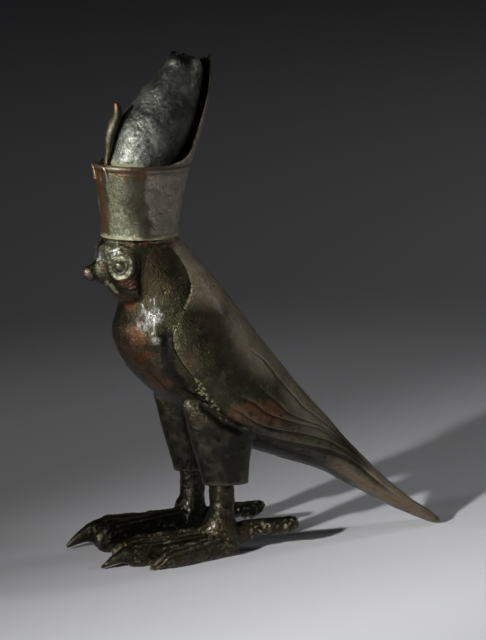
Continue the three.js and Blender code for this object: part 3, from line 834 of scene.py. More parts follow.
class Patina:
    """The places and noises that the materials of the figure share, for one material."""

    def __init__(self, name):
        self.material = bpy.data.materials.new(name)
        self.material.use_nodes = True
        self.tree = self.material.node_tree
        self.surface = self.tree.nodes["Principled BSDF"]
        start = Field(self.tree)
        place = start.node("ShaderNodeTexCoord", {}, {}, output="Object")
        scale = (1 / metres_per_mm,) * 3
        self.place = start.node("ShaderNodeMapping", {}, {"Vector": place, "Scale": scale})

    def noise(self, size, detail=4.0, roughness=0.55, distortion=0.0):
        """Soft noise from 0 to 1, whose lumps are about size millimetres."""
        inputs = {"Vector": self.place, "Scale": 1 / size, "Detail": detail}
        inputs.update(Roughness=roughness, Distortion=distortion)
        return self.place.node("ShaderNodeTexNoise", {}, inputs)

    def painted(self, name):
        """The number that was painted on the points under this name."""
        settings = {"attribute_name": name, "attribute_type": "GEOMETRY"}
        return self.place.node("ShaderNodeAttribute", settings, {}, output="Fac")

    def broken(self, name, mottle, fine):
        """A painted place whose edge and inside are broken up by two noises."""
        field = self.painted(name)
        ragged = field * 0.9 + 2.2 * (mottle - 0.5) + 0.8 * (fine - 0.5)
        return ragged.step(0.35, 0.75) * field.step(0.02, 0.30)

    def finish(self, colour, metallic, roughness, height, bump_mm):
        """Feeds the surface: colour, metal, roughness and the relief of a height from 0 to 1. A thin clear
        wax lies over it all."""
        self.surface.inputs["Coat Weight"].default_value = wax_weight
        self.surface.inputs["Coat Roughness"].default_value = wax_roughness
        relief = {"Height": height, "Strength": 1.0, "Distance": bump_mm * metres_per_mm}
        relief = self.place.node("ShaderNodeBump", {}, relief)
        for name, field in {
            "Base Color": colour,
            "Metallic": metallic,
            "Roughness": roughness,
            "Normal": relief,
        }.items():
            self.tree.links.new(field.socket, self.surface.inputs[name])
        return self.material


def falcon_bronze():
    """Dark olive-brown bronze under a waxed patina. It is green and tan where it has weathered, copper-red
    where the patina is worn off, pale with crust in places, and dark with dirt in what is cut in. Painted
    shade darkens the thighs, the breast hollow, the groove above the thigh and the underside of the wings,
    a painted shadow lies below each eye's lip, and painted highlights brighten the breast, forehead and
    beak."""
    olive, umber, moss = (0.024, 0.022, 0.009), (0.046, 0.031, 0.015), (0.042, 0.046, 0.018)
    grey_tan, brown_tan = (0.31, 0.275, 0.19), (0.20, 0.145, 0.088)
    film_low, film_high = (0.060, 0.062, 0.028), (0.27, 0.27, 0.19)
    copper_low, copper_high = (0.070, 0.028, 0.012), (0.18, 0.066, 0.028)
    crust_low, crust_high = (0.085, 0.085, 0.030), (0.27, 0.27, 0.14)
    dirt_colour, speck_colour = (0.014, 0.012, 0.007), (0.28, 0.26, 0.16)
    # Colours of painted shade, of wear, and of painted highlights.
    shade_colour, worn_colour, polish_colour = (0.010, 0.010, 0.006), (0.24, 0.21, 0.14), (0.44, 0.44, 0.42)
    p = Patina("falcon_bronze")
    broad = p.noise(26, detail=3.0)
    mottle = p.noise(6.5, detail=5.0, roughness=0.62, distortion=0.4)
    fine = p.noise(1.3, detail=4.0, roughness=0.6)
    specks = p.noise(0.6, detail=2.0, roughness=0.5)
    hollow, cut = p.painted("hollow"), p.painted("cut")
    body = broad.step(0.42, 0.60).colours(olive, umber)
    body = mottle.step(0.50, 0.68).colours(body, moss)
    tan = (p.painted("tan") * (0.80 + 1.2 * (mottle - 0.5))).at_most(1.0)
    body = tan.colours(body, broad.colours(grey_tan, brown_tan))
    pale_place = p.painted("pale")
    pale = (pale_place * 1.2 + 1.6 * (mottle - 0.5)).step(0.25, 0.85) * pale_place.step(0.02, 0.3)
    body = (pale * 0.75).colours(body, fine.step(0.30, 0.70).colours(film_low, film_high))
    copper = p.broken("copper", mottle, fine)
    body = (copper * 0.75).colours(body, fine.colours(copper_low, copper_high))
    crust = (p.painted("crust") * 1.4 - 0.65 + fine + 0.8 * (mottle - 0.5)).step(0.35, 0.85)
    body = (crust * 0.7).colours(body, fine.colours(crust_low, crust_high))
    # Besides dirt in the cuts, this carries the painted shadow below each eye's lip.
    dirt = (hollow - 0.58).step(0.0, 0.28) * 0.55 + cut * 0.95
    dirt = dirt.at_most(0.95) * (1.0 - 0.7 * crust)
    body = dirt.colours(body, dirt_colour)
    body = (specks.step(0.62, 0.72) * 0.24).colours(body, speck_colour)
    # Painted shade.
    shade = (p.painted("shade") * 1.15).at_most(0.96)
    body = shade.colours(body, shade_colour)
    worn = (0.44 - hollow).step(0.0, 0.25) * (1.0 - crust)
    body = (worn * 0.22).colours(body, worn_colour)
    # Painted highlights, broken up by fine noise.
    polish = p.painted("polish") * fine.step(0.36, 0.60)
    body = (polish * 0.85).colours(body, polish_colour)
    metallic = 0.85 - 0.6 * crust - 0.35 * tan
    roughness = 0.27 + 0.14 * mottle + 0.30 * crust + 0.15 * dirt - 0.06 * worn + 0.08 * tan
    roughness = roughness - 0.06 * polish + 0.12 * pale + 0.05 * shade
    smooth = 1.0 - 0.6 * pale.at_least(p.painted("shade"))
    height = (0.55 * fine + 0.4 * specks + 0.3 * p.noise(2.8, detail=3.0)) * smooth
    return p.finish(body, metallic, roughness, height, bump_mm=0.85)


body = falcon_body()
paint_body(body)
place_in_frame(body)
body_metal = falcon_bronze()
body.data.materials.append(body_metal)
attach(body, "root")
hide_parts("falcon")

# Legs and feet
#
# Shanks and toes were rolled from wax and pressed onto the figure, then cast with it. The toes show the
# ridges of their tendons, with wrinkled knuckles and a pale crust on what stands highest.

shank_radius = 6.55
# Each row of the shank is [y, z, half width, half depth], the last two in shank radii.
shank_rows = [
    [-21.3, 43.0, 1.0, 1.0],
    [-21.3, 36.0, 1.0, 1.0],
    [-21.3, 24.0, 1.02, 1.04],
    [-22.0, 17.7, 1.2, 1.35],
    [-22.6, 11.3, 1.4, 1.8],
    [-22.6, 5.0, 1.4, 1.7],
]
# Each row of a toe is [x out from the leg, y, z, half width, half height].
middle_toe = [
    [0.4, -18, 6.4, 7.8, 8.8],
    [1.6, -34, 6.2, 6.4, 8.0],
    [3.0, -50, 6.2, 5.4, 7.5],
    [4.0, -63, 6.2, 5.0, 7.3],
    [4.3, -71, 6.2, 5.2, 7.6],
    [4.5, -77, 6.8, 4.2, 5.2],
    [4.7, -82, 5.8, 2.8, 3.4],
    [4.8, -87, 3.8, 1.9, 2.2],
    [4.9, -92, 1.3, 0.6, 0.7],
]
outer_toe = [
    [1.5, -17, 6.0, 7.0, 7.6],
    [7.6, -32, 5.6, 5.4, 6.6],
    [12.8, -46, 5.4, 4.6, 5.6],
    [15.8, -55, 5.2, 4.4, 5.2],
    [16.9, -60, 4.8, 4.0, 4.4],
    [17.4, -63, 3.6, 2.4, 2.6],
    [18.0, -66.5, 2.6, 1.7, 1.8],
    [18.4, -69.5, 1.3, 0.6, 0.7],
]
inner_toe = [
    [-1.0, -20, 6.4, 7.0, 8.6],
    [-4.0, -38, 6.4, 5.4, 8.6],
    [-6.6, -54, 6.2, 4.8, 7.8],
    [-7.8, -66, 6.0, 4.8, 7.4],
    [-8.2, -75, 5.4, 4.2, 6.2],
    [-8.4, -80, 4.6, 2.4, 3.4],
]
hind_toe = [
    [0, -17, 8.5, 6.2, 6.4],
    [0.4, -6, 12.4, 4.8, 5.0],
    [0.9, 6, 12.8, 4.3, 4.4],
    [1.2, 14.5, 12.9, 4.1, 4.2],
    [1.6, 19.5, 13.2, 3.2, 3.3],
    [1.7, 21.4, 13.4, 1.6, 1.6],
]
# The toes are drawn for one height at the knuckle, and the left and right foot are cast lower and higher.
drawn_toe_height = 13.8
toe_heights = {1: 12.8, -1: 16.4}
# Each toe has three tendon ridges side by side, with a groove along each side of a ridge.
tendon_gap, tendon_fall = 3.1, 0.4
tendon_height, tendon_reach = 0.75, 0.9
tendon_groove_offset, tendon_groove_depth, tendon_groove_reach = 1.7, 0.35, 0.6
wrinkle_height, toe_lump_height, toe_fine_lump_height, toe_pit_depth = 0.08, 0.40, 0.16, 0.25
sole_height = 0.35
foot_voxel = 0.36
foot_triangles = 90000
foot_copper = [
    [37.2, -66.0, 3.2, 3.2, 4.6, 3.4, 1.0],
    [19.2, -16.0, 30.0, 9.0, 9.0, 9.0, 0.35],
]


def toe_form(rows, side, tall):
    """A toe as a limb on its own side, stretched upright by its casting."""
    rows = smooth_rows(rows, 10)
    rows[:, 0] = side * (leg_x + rows[:, 0])
    rows[:, [2, 4]] *= tall
    return limb(rows, 48, upward)


def tendon(rows, side, tall):
    """The line along the top of a toe, where its tendon lies."""
    rows = smooth_rows(rows, 4)
    top = rows[:, 2] + rows[:, 4]
    return np.stack([side * (leg_x + rows[:, 0]), rows[:, 1], top * tall], 1)


def foot(side, name):
    """Shank and toes fused into one skin, with tendons, wrinkled knuckles, lumps and pits."""
    tall = toe_heights[side] / drawn_toe_height
    shank = smooth_rows(shank_rows, 8)
    shank = np.column_stack([np.full(len(shank), side * leg_x), shank[:, :2], shank[:, 2:] * shank_radius])
    toes = [(middle_toe, tall), (outer_toe, tall), (inner_toe, tall), (hind_toe, 1.0)]
    forms = [limb(shank, 64, rearward)] + [toe_form(rows, side, height) for rows, height in toes]
    piece = fused_piece(name, forms, foot_voxel, rounds=8)
    points, outward = points_of(piece.data), normals_of(piece.data)
    x, y, z = points.T
    on_toes = soft_drop(z, 22, 30)
    past_middle_toe = np.maximum(side * x - leg_x - 6, 0)
    before_claws = soft_step(y + 1.1 * past_middle_toe, -74.0, -64.0)
    lift = np.zeros(len(points))
    for rows, height in toes[:3]:
        for aside in (-tendon_gap, 0.0, tendon_gap):
            line = tendon(rows, side, height) + [aside, 0, -tendon_fall * abs(aside)]
            gap = line_distance(points, line)
            ridge = tendon_height * rise(gap, tendon_reach)
            ridge -= tendon_groove_depth * rise(gap - tendon_groove_offset, tendon_groove_reach)
            lift += ridge * on_toes * before_claws
    wrinkles = np.sin(2.1 * y + 2.0 * lumps(points, 6.0, seed=12 + side, octaves=1))
    knuckles = soft_step(lumps(points, 11.0, seed=21 + side, octaves=1), 0.0, 0.6)
    in_front = soft_drop(y, -12.0, -4.0)
    on_upper_side = outward[:, 2] > -0.2
    lift += wrinkle_height * wrinkles * knuckles * on_toes * in_front * on_upper_side
    low_behind = (1 - in_front) * soft_drop(z, 15.0, 17.0)
    rough = 1 + 2.2 * low_behind - 0.8 * soft_drop(y, -80.0, -76.0)
    fine_lumps = toe_fine_lump_height * lumps(points, 1.8, seed=41 + side, octaves=2)
    lift += rough * (toe_lump_height * lumps(points, 5.0, seed=31 + side) + fine_lumps)
    lift -= toe_pit_depth * soft_step(lumps(points, 2.2, seed=51 + side, octaves=2), 0.55, 0.95)
    moved = points + outward * lift[:, None]
    moved[:, 2] = np.where(z < sole_height, 0, np.maximum(moved[:, 2], 0))
    set_points(piece.data, moved)
    thin_to(piece, foot_triangles)
    return piece


def paint_foot(piece, side):
    """Worn to copper at the outer claw and a little on the shank, and crusted on ridges. Painted shade
    darkens all of the right foot, behind the left leg, and the left shank toward the thigh."""
    points = points_of(piece.data)
    y, z = points[:, 1], points[:, 2]
    hollow = hollowness(piece.data)
    broken_up = soft_step(lumps(points, 5.0, seed=61, octaves=2), -0.2, 0.5)
    crust = 0.6 * soft_drop(hollow, 0.36, 0.50) * broken_up
    crust *= soft_step(y, -80, -74) * soft_drop(z, 14, 20)
    # Painted shade: all over the right foot, and on the left shank, more toward the thigh.
    shade = 0.25 + 0.35 * soft_step(z, 16, 24) if side > 0 else np.full(len(points), 0.8)
    absent = dict.fromkeys(("tan", "cut", "pale", "polish"), np.zeros(len(points)))
    paint(piece, copper=patch(points, foot_copper), crust=crust, shade=shade, hollow=hollow, **absent)


for side, name in ((1, "left_foot"), (-1, "right_foot")):
    piece = foot(side, name)
    paint_foot(piece, side)
    place_in_frame(piece)
    piece.data.materials.append(body_metal)
    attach(piece, "root")
    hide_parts("falcon")

# Red crown
#
# A cast bronze cup on the head's flange, drawn up behind into a tall leaning plate. A bead runs under its
# rim, and the join to the head is sealed by green crust. Its front is worn to copper, and its back is tan.

crown_foot_radius = 19.9
crown_rim_radius = 25.8
crown_foot_z = 170.3
crown_cup_height = 38.7
crown_wall = 2.0
crown_ledge_depth = 1.6
# The plate's wall thins out toward its top by this share.
wall_thinning = 0.6
back_plate_height = 54.6
cup_flare = 1.4
rim_drift = 0.057
rim_z = crown_foot_z + crown_cup_height
ledge_z = rim_z - crown_ledge_depth

# Above the rim the plate leans back and narrows:
# [share of its height, middle behind the axis in rim radii, radius in rim radii].
plate_rows = [
    [0.00, rim_drift, 1.00],
    [0.06, 0.124, 0.988],
    [0.26, 0.365, 0.90],
    [0.45, 0.587, 0.81],
    [0.65, 0.803, 0.70],
    [0.78, 0.925, 0.612],
    [0.93, 1.050, 0.496],
    [1.00, 1.105, 0.45],
]
# The rim's height at each angle from the back, as a share of the plate's height.
rim_degrees = [0, 12, 24, 31, 34, 36, 38, 40.5, 43, 45, 49, 56, 64, 78, 92, 180]
rim_shares = [1.0, 0.99, 0.965, 0.93, 0.86, 0.76, 0.66, 0.50, 0.30, 0.17, 0.10, 0.06, 0.03, 0.008, 0, 0]
# Sides and rings of the cup's skin. The sides stand closest where the rim's edge climbs.
sides_behind, sides_on_climb, sides_in_front = 36, 92, 130
outer_rings, inner_rings, lip_rings = 126, 60, 7
bead_below_rim, bead_height, bead_reach = 1.6, 0.5, 0.9
groove_below_rim, cup_groove_depth, cup_groove_reach = 3.6, 0.15, 0.8
foot_swell, foot_swell_reach = 0.35, 1.5


def crown_section(z):
    """The middle of the crown behind its axis, and its radius, at each height."""
    t = np.clip((z - crown_foot_z) / crown_cup_height, 0, 1)
    plate = (z - rim_z) / back_plate_height
    shares, backs, radii = np.array(plate_rows).T
    back = np.where(plate <= 0, rim_drift * t, np.interp(plate, shares, backs))
    flare = crown_foot_radius + (crown_rim_radius - crown_foot_radius) * t**cup_flare
    radius = np.where(plate <= 0, flare, crown_rim_radius * np.interp(plate, shares, radii))
    return back * crown_rim_radius, radius


def crown_points(degrees, z, inward):
    """Points of the crown at angles from the back, at heights, a depth inside its outer face."""
    back, radius = crown_section(z)
    turn = np.radians(degrees)
    reach = radius - inward
    return np.stack([reach * np.sin(turn), crown_axis_y + back + reach * np.cos(turn), z], -1)


def crown_cup():
    """The cup's outer face from foot to rim, a rounded lip, and the inner face down to the ledge. The depth
    in the wall goes from 0 outside, through half a turn over the lip, to the wall's thickness inside."""
    behind = np.linspace(0, 35, sides_behind)
    climb = np.linspace(35.25, 58, sides_on_climb)
    front = np.linspace(58.9, 180, sides_in_front)
    half = np.concatenate([behind, climb, front])
    degrees = np.concatenate([half, 360 - half[1:-1][::-1]])
    from_back = np.minimum(degrees, 360 - degrees)
    height = np.interp(from_back, rim_degrees, rim_shares)
    rough = np.stack([degrees * 0.4, 0 * degrees, 0 * degrees], 1)
    ragged = (0.5 + 0.9 * soft_step(height, 0.3, 1.0)) * lumps(rough, 3.0, seed=71) - 0.3
    top = rim_z + height * back_plate_height + ragged * soft_step(height, 0.0, 0.2)
    lip = crown_wall / 2
    outer = np.linspace(0, 1, outer_rings)[:, None] * (top - lip - crown_foot_z) + crown_foot_z
    over_lip = np.linspace(0, np.pi, lip_rings + 2)[1:-1]
    inner = np.linspace(1, 0, inner_rings)[:, None] * (top - lip - ledge_z) + ledge_z
    z = np.concatenate([outer, top - lip + lip * np.sin(over_lip)[:, None], inner])
    across = np.concatenate([np.zeros(outer_rings), (1 - np.cos(over_lip)) / 2, np.ones(inner_rings)])
    wall = crown_wall * (1 - wall_thinning * np.clip((z - rim_z) / back_plate_height, 0, 1) ** 0.6)
    inward = across[:, None] * wall
    outside = inward < 0.01
    bead = bead_height * rise(z - rim_z + bead_below_rim, bead_reach) * soft_step(from_back, 96, 118)
    groove = cup_groove_depth * rise(z - rim_z + groove_below_rim, cup_groove_reach)
    inward -= outside * (bead + foot_swell * rise(z - crown_foot_z, foot_swell_reach) - groove)
    return closed_tube(crown_points(degrees, z, inward))


def white_crown_section(z):
    """The middle of the white crown behind the axis, and its reach from front to back, at each height."""
    t = np.clip((z - white_crown_foot_z) / white_crown_height, 0, 1)
    rises, leans, radii = white_crown_dense.T
    return white_crown_radius * np.interp(t, rises, leans), white_crown_radius * np.interp(t, rises, radii)


white_crown_clearance, crown_joint_gap, white_crown_over_plate = 3.4, 0.3, 2.0
white_crown_radius = crown_rim_radius - crown_wall - white_crown_clearance
white_crown_foot_z = ledge_z + crown_joint_gap
white_crown_top_z = rim_z + back_plate_height + white_crown_over_plate
white_crown_height = white_crown_top_z - white_crown_foot_z
# Each row is [share of the height, middle behind the axis, front to back reach], in largest radii.
white_crown_rows = [
    [0.00, 0.12, 0.930],
    [0.047, 0.15, 0.955],
    [0.133, 0.24, 0.970],
    [0.288, 0.37, 1.000],
    [0.426, 0.55, 0.950],
    [0.512, 0.69, 0.885],
    [0.622, 0.85, 0.805],
    [0.764, 1.10, 0.625],
    [0.867, 1.22, 0.490],
    [0.943, 1.24, 0.400],
    [1.00, 1.23, 0.290],
]
white_crown_dense = smooth_rows(white_crown_rows, 8)

# The rearing cobra stands on the ledge in front of the white crown:
# [share of its height, gap to the white crown, half width, half depth].
cobra_height = 33.0
cobra_rows = [
    [-0.04, 0.4, 1.8, 1.2],
    [0.15, 0.5, 2.4, 1.6],
    [0.33, 0.4, 3.2, 2.3],
    [0.52, 0.4, 3.9, 2.8],
    [0.68, 1.3, 4.3, 2.9],
    [0.80, 3.0, 4.0, 2.5],
    [0.91, 6.3, 2.8, 2.1],
    [0.98, 8.9, 1.9, 1.5],
    [1.00, 10.3, 0.9, 0.7],
]


def cobra_form():
    """A flat limb that follows the white crown's front, swells into the hood and ends in a small head."""
    share, gap, half_width, half_depth = smooth_rows(cobra_rows, 12).T
    z = ledge_z + share * cobra_height
    lean, radius = white_crown_section(z)
    y = crown_axis_y + lean - radius - gap - half_depth
    return limb(np.stack([0 * y, y, z, half_width, half_depth], 1), 72, rearward)


coil_middle, coil_half_width, coil_height = 6.8, 2.8, 7.5
coil_thickness, coil_below_rim = 1.9, 1.3


def coil_form(side):
    """A loop of the cobra's body on the front of the cup, beside its middle, open at the bottom."""
    turn = np.linspace(0, np.pi, 40)
    x = side * (coil_middle - coil_half_width * np.cos(turn))
    z = rim_z - coil_below_rim - coil_height * (1 - np.sin(turn))
    degrees = 180 - np.degrees(np.arcsin(x / crown_rim_radius))
    surface = crown_points(degrees, z, 0.0)
    thick = np.full(len(z), coil_thickness / 2)
    return limb(np.column_stack([surface[:, :2], z, thick, thick]), 28, rearward)


def roughen(piece, coarse, fine, seed, pit_depth):
    """Pushes the skin in and out by lumps of two sizes, and sinks scattered pits."""
    points, outward = points_of(piece.data), normals_of(piece.data)
    lift = coarse * lumps(points, 6.0, seed) + fine * lumps(points, 1.9, seed + 1, octaves=2)
    lift -= pit_depth * soft_step(lumps(points, 2.1, seed + 2, octaves=2), 0.60, 0.95)
    set_points(piece.data, points + outward * lift[:, None])


def paint_crown(piece):
    """Front worn to copper, green in the middle of each side, tan behind, and crust at the foot and on the
    ledge. A painted shadow darkens the inside of the cup behind the white crown, and painted shade darkens
    the bead away from the front. Turn is the angle from the back, and lumps make the edges of these places
    uneven."""
    points = points_of(piece.data)
    z = points[:, 2]
    over_rim = z - rim_z
    turn = np.degrees(np.arctan2(np.abs(points[:, 0]), points[:, 1] - crown_axis_y))
    uneven = 9 * lumps(points, 9.0, seed=81, octaves=2)
    rough_turn = turn + uneven
    front = soft_step(rough_turn, 162, 172) * soft_drop(over_rim, -1, 4)
    green = between(rough_turn, 116, 132, 158, 168) * (over_rim < 2)
    side_band = between(rough_turn, 96, 106, 130, 140)
    under_rim = side_band * between(over_rim, -11, -6, -0.5, 3)
    streak = side_band * soft_step(over_rim + uneven, -38, -22) * soft_drop(over_rim, -2, 0)
    collar = rise(over_rim + 3.5, 3.0) * soft_step(rough_turn, 100, 106)
    foot = soft_drop(z + 1.6 * lumps(points, 4.0, seed=82, octaves=2) - crown_foot_z, 0.3, 2.6)
    back, radius = crown_section(z)
    inside = np.hypot(points[:, 0], points[:, 1] - crown_axis_y - back) < radius - 0.7
    inside &= z > ledge_z - 1
    ledge = rise(z - ledge_z, 1.3) * inside * soft_step(turn, 120, 135)
    on_cobra = np.full(len(points), piece.name == "cobra")
    cobra_head = on_cobra * soft_step((z - ledge_z) / cobra_height, 0.80, 0.92)
    before_plate = soft_step(turn, 60, 75)
    # Painted shadow inside the cup, in the gap behind the white crown, and painted shade on the bead away
    # from the front. The plate also darkens toward its top, and a line in the groove under the bead,
    # streaks on the sides and the rim's top edge are dark.
    dark = [
        inside * soft_drop(turn, 120, 135) + 0.9 * soft_step(over_rim, 14, 54),
        0.7 * rise(over_rim + 3.4, 0.7) * before_plate,
        0.8 * rise(over_rim + 1.4, 1.3) * soft_drop(turn, 126, 136) * ~inside,
        0.72 * streak,
        0.9 * rise(over_rim - 0.4, 0.8) * before_plate * ~inside,
    ]
    paint(
        piece,
        copper=np.maximum.reduce([front, 0.9 * under_rim, 0.8 * collar, 0.9 * cobra_head]),
        green=np.maximum(green, 0.35 * on_cobra),
        dark=np.where(on_cobra, 0.45, np.maximum.reduce(dark)),
        tan=soft_drop(rough_turn, 96, 110),
        crust=np.maximum(foot, ledge),
        hollow=hollowness(piece.data),
    )


def red_crown_bronze():
    """Bronze that is tan behind, grey-green at the sides and copper-red in front, with dark specks. Its
    painted dark places, painted shadow and painted shade among them, take the dirt colour.
    """
    drab, light_drab = (0.115, 0.105, 0.066), (0.175, 0.165, 0.105)
    tan_low, tan_high = (0.26, 0.225, 0.165), (0.185, 0.165, 0.125)
    green_low, green_high = (0.080, 0.090, 0.042), (0.30, 0.31, 0.21)
    copper_low, copper_high = (0.13, 0.048, 0.016), (0.34, 0.15, 0.055)
    crust_low, crust_high = (0.085, 0.095, 0.035), (0.29, 0.31, 0.17)
    dirt_colour, worn_colour = (0.020, 0.014, 0.008), (0.36, 0.30, 0.20)
    p = Patina("red_crown_bronze")
    broad = p.noise(14, detail=3.0)
    mottle = p.noise(4.5, detail=5.0, roughness=0.62, distortion=0.3)
    fine = p.noise(1.1, detail=4.0, roughness=0.6)
    specks = p.noise(0.6, detail=3.0, roughness=0.6)
    hollow, dark = p.painted("hollow"), p.painted("dark")
    body = broad.step(0.40, 0.62).colours(drab, light_drab)
    tan = (p.painted("tan") + 0.5 * (mottle - 0.5)).step(0.2, 0.9)
    body = tan.colours(body, mottle.step(0.35, 0.65).colours(tan_low, tan_high))
    green = (p.painted("green") + 0.9 * (mottle - 0.5)).step(0.3, 0.9)
    body = (green * 0.75).colours(body, fine.step(0.3, 0.7).colours(green_low, green_high))
    copper = p.broken("copper", mottle, fine)
    body = (copper * 0.70).colours(body, fine.colours(copper_low, copper_high))
    crust = p.broken("crust", mottle, fine)
    body = (crust * 0.8).colours(body, fine.colours(crust_low, crust_high))
    dirt = ((hollow - 0.56).step(0.0, 0.2) * 0.8).at_least(specks.step(0.60, 0.68) * 0.55)
    # The painted dark places, painted shadow and painted shade among them, take the dirt colour.
    dirt = dirt.at_least(dark * 0.95)
    body = dirt.colours(body, dirt_colour)
    worn = (0.45 - hollow).step(0.0, 0.2)
    body = (worn * (1.0 - dark) * 0.4).colours(body, worn_colour)
    metallic = 0.80 - 0.5 * crust - 0.35 * green
    roughness = 0.27 + 0.2 * mottle + 0.25 * crust + 0.1 * dirt - 0.05 * worn
    height = 0.5 * fine + 0.3 * specks + 0.4 * p.noise(3.0, detail=3.0)
    return p.finish(body, metallic, roughness, height, bump_mm=0.45)


crown_metal = red_crown_bronze()
# Each piece has its closed forms and the height of its coarse lumps.
red_crown_pieces = {
    "crown_cup": ([crown_cup()], 0.16),
    "cobra": ([cobra_form()], 0.10),
    "coil": ([coil_form(1), coil_form(-1)], 0.10),
}
for name, (forms, coarse) in red_crown_pieces.items():
    piece = piece_from(name, mesh_in_drawing(name, forms))
    roughen(piece, coarse, fine=0.07, seed=91, pit_depth=0.12)
    paint_crown(piece)
    place_in_frame(piece)
    piece.data.materials.append(crown_metal)
    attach(piece, "root")
    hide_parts("red_crown")

# White crown
#
# A tall bulb of bronze set into the cup, leaning back along the plate. Its surface is corroded and mottled,
# and its tip is broken off and nearly black.

white_crown_narrowing = 0.94
top_drop, top_drop_fade, least_drop = 2.5, 12, 0.1
# The broken top is dished in three rings: (share of its outline, depth).
dish_rings = [(0.8, 0.5), (0.55, 1.1), (0.3, 1.3)]


def white_crown_form():
    """Level ovals up the leaning middle line. The broken top slopes down to the back and is dished."""
    rises = np.concatenate([np.linspace(0, 0.985, 190), np.linspace(0.987, 1, 8)])[:, None]
    turn = np.linspace(0, 2 * np.pi, 240, endpoint=False)
    z = white_crown_foot_z + rises * white_crown_height
    lean, radius = white_crown_section(z)
    rounding = ((rises - 0.982) / 0.024).clip(0, 1)
    radius = radius * np.sqrt(np.clip(1 - rounding**2, 0.2, 1))
    circle = np.stack([np.sin(turn) * 6, np.cos(turn) * 6, 0 * turn], 1)
    ragged = lumps(circle, 3.0, seed=101)
    drop = (top_drop * (1 + np.cos(turn)) / 2 + 1.0 + ragged) * rises**top_drop_fade
    x = radius * white_crown_narrowing * np.sin(turn)
    y = crown_axis_y + lean + radius * np.cos(turn)
    rings = np.stack([x, y, z - drop.clip(least_drop)], -1)
    brim = rings[-1:]
    middle = brim.mean(1, keepdims=True)
    dish = [middle * (1 - share) + brim * share - [0, 0, depth] for share, depth in dish_rings]
    return closed_tube(np.concatenate([rings, *dish]))


def paint_white_crown(piece):
    """Nearly black at the broken tip, with painted shade toward the back, and crust where its front meets
    the ledge.
    """
    points = points_of(piece.data)
    y, z = points[:, 1] - crown_axis_y, points[:, 2]
    behind_middle = y - white_crown_section(z)[0] + 5 * lumps(points, 8.0, seed=123)
    at_tip = soft_step(z + 3 * lumps(points, 6.0, seed=121) - white_crown_top_z, -9, -3)
    at_foot = soft_drop(z + 1.5 * lumps(points, 4.0, seed=122) - ledge_z, 1.0, 4.0)
    paint(
        piece,
        # Painted shade on the rear half, away from the lamp.
        dark=np.maximum(at_tip, 0.6 * soft_step(behind_middle, -6, 12)),
        crust=at_foot * soft_drop(y, -10, 0),
        hollow=hollowness(piece.data),
    )


def white_crown_bronze():
    """Dull pewter-coloured patina, mottled with grey-green and brown spots, nearly black at the tip, with
    painted shade toward the back.
    """
    pewter_low, pewter_high = (0.062, 0.066, 0.054), (0.18, 0.185, 0.155)
    grey_green, blotch, brown = (0.28, 0.29, 0.245), (0.024, 0.024, 0.020), (0.080, 0.055, 0.036)
    grain, dirt_colour, black = (0.24, 0.25, 0.21), (0.014, 0.014, 0.011), (0.010, 0.009, 0.008)
    crust_low, crust_high = (0.15, 0.16, 0.09), (0.36, 0.38, 0.25)
    p = Patina("white_crown_bronze")
    broad = p.noise(11, detail=3.0, roughness=0.5, distortion=0.4)
    mottle = p.noise(3.6, detail=5.0, roughness=0.65, distortion=0.5)
    fine = p.noise(0.9, detail=4.0, roughness=0.6)
    hollow, dark = p.painted("hollow"), p.painted("dark")
    body = broad.step(0.36, 0.64).colours(pewter_low, pewter_high)
    body = (mottle.step(0.50, 0.68) * 0.55).colours(body, grey_green)
    body = (mottle.step(0.42, 0.32) * 0.7).colours(body, blotch)
    spots = p.noise(7.0, detail=2.0).step(0.60, 0.70)
    body = (spots * 0.6).colours(body, brown)
    body = (fine.step(0.58, 0.72) * 0.35).colours(body, grain)
    dirt = (hollow - 0.55).step(0.0, 0.22)
    body = (dirt * 0.75).colours(body, dirt_colour)
    # Nearly black at the broken tip, and painted shade toward the back.
    body = (dark * 0.95).colours(body, black)
    crust = (p.painted("crust") * 1.4 - 0.5 + fine).step(0.35, 0.8)
    body = crust.colours(body, fine.colours(crust_low, crust_high))
    metallic = 0.60 - 0.4 * crust + 0.4 * dark
    roughness = 0.33 + 0.2 * mottle + 0.25 * crust + 0.3 * dark
    height = 0.5 * fine + 0.5 * mottle
    return p.finish(body, metallic, roughness, height, bump_mm=0.5)


white_crown = piece_from("white_crown_bulb", mesh_in_drawing("white_crown_bulb", [white_crown_form()]))
roughen(white_crown, coarse=0.28, fine=0.13, seed=111, pit_depth=0.3)
paint_white_crown(white_crown)
place_in_frame(white_crown)
white_crown.data.materials.append(white_crown_bronze())
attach(white_crown, "root")
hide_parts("white_crown")

# Floor
#
# A wide sheet of matt pale paper that the figure stands on. It takes the shadows of the legs and the tail,
# and its own light comes from a lamp behind the figure.

floor_half = 6.0
floor_colour, floor_roughness = (0.74, 0.74, 0.765, 1), 0.8
floor_mesh = bpy.data.meshes.new("floor")
floor_corners = [(-1, -1), (1, -1), (1, 1), (-1, 1)]
floor_mesh.from_pydata([(x * floor_half, y * floor_half, 0) for x, y in floor_corners], [], [(0, 1, 2, 3)])
floor = piece_from("floor", floor_mesh)
paper = bpy.data.materials.new("paper")
paper.use_nodes = True
paper_surface = paper.node_tree.nodes["Principled BSDF"]
paper_surface.inputs["Base Color"].default_value = floor_colour
paper_surface.inputs["Roughness"].default_value = floor_roughness
floor_mesh.materials.append(paper)

# Light
#
# A low lamp with a tight grid to the left of the camera, a small one on the head, a lamp over the sheet
# behind, a weak one from above and behind that lifts the back, and a dim even room.


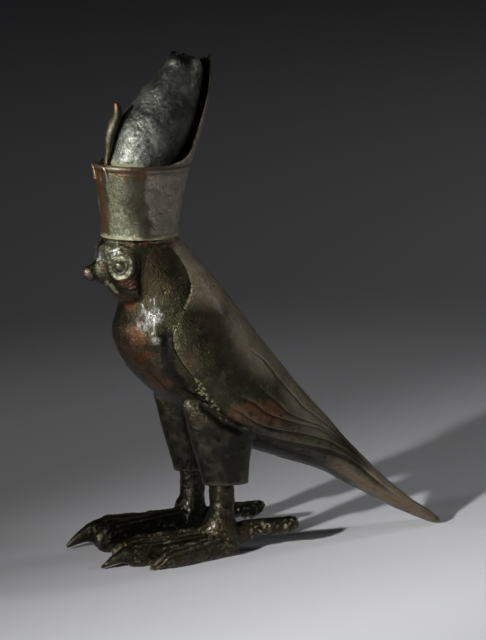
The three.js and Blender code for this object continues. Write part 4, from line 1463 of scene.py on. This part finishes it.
def soft_box(name, aim, towards, distance, size, watts, spread):
    """A square area light at a distance in a direction from its aim, with a grid that keeps its beam within
    a spread in degrees."""
    light = bpy.data.lights.new(name, "AREA")
    light.size = size
    light.energy = watts
    light.spread = np.radians(spread)
    lamp = piece_from(name, light)
    direction = Vector(towards).normalized()
    lamp.location = aim + direction * distance
    lamp.rotation_mode = "QUATERNION"
    lamp.rotation_quaternion = direction.to_track_quat("Z", "Y")


figure_middle_z = 0.121
figure_middle = Vector((0, drawing_shift * metres_per_mm, figure_middle_z))
beside_figure = figure_middle + Vector((0.0887, 0.1759, -0.1578))
figure_head = figure_middle + Vector((0, -0.062, 0.080))
behind_figure = figure_middle + Vector((0.688, 2.527, 0))
soft_box("key_light", beside_figure, (0.935, -1.814, 0.676),
         distance=2.15, size=0.08, watts=0.76, spread=17.75)
soft_box("head_light", figure_head, (0.08, -1.03, 0.27),
         distance=1.2, size=0.12, watts=0.07, spread=12)
soft_box("backdrop_light", behind_figure, (0, 0, 1),
         distance=1.333, size=0.9, watts=15.5, spread=180)
soft_box("rim_light", figure_middle, (-0.2, 0.75, 0.9),
         distance=2.0, size=0.9, watts=0.24, spread=16)
room_colour, room_strength = (0.80, 0.84, 0.90, 1), 0.007
room = bpy.data.worlds.new("room")
bpy.context.scene.world = room
room.use_nodes = True
room_light = room.node_tree.nodes["Background"]
room_light.inputs["Color"].default_value = room_colour
room_light.inputs["Strength"].default_value = room_strength
bpy.context.scene.view_settings.view_transform = "Standard"

# Camera
#
# A long lens at the left front of the figure, a little above it. Its place was fitted to the claws, the tip
# of the tail and the top of the crown.

camera_azimuth, camera_elevation = np.radians(65.3), np.radians(10.0)
camera_distance, camera_lens = 1.8, 191.0
camera = piece_from("camera", bpy.data.cameras.new("camera"))
backward = Vector((
    np.sin(camera_azimuth) * np.cos(camera_elevation),
    -np.cos(camera_azimuth) * np.cos(camera_elevation),
    np.sin(camera_elevation),
))
camera.location = figure_middle + backward * camera_distance
camera.rotation_mode = "QUATERNION"
camera.rotation_quaternion = backward.to_track_quat("Z", "Y")
camera.data.lens = camera_lens
bpy.context.scene.camera = camera
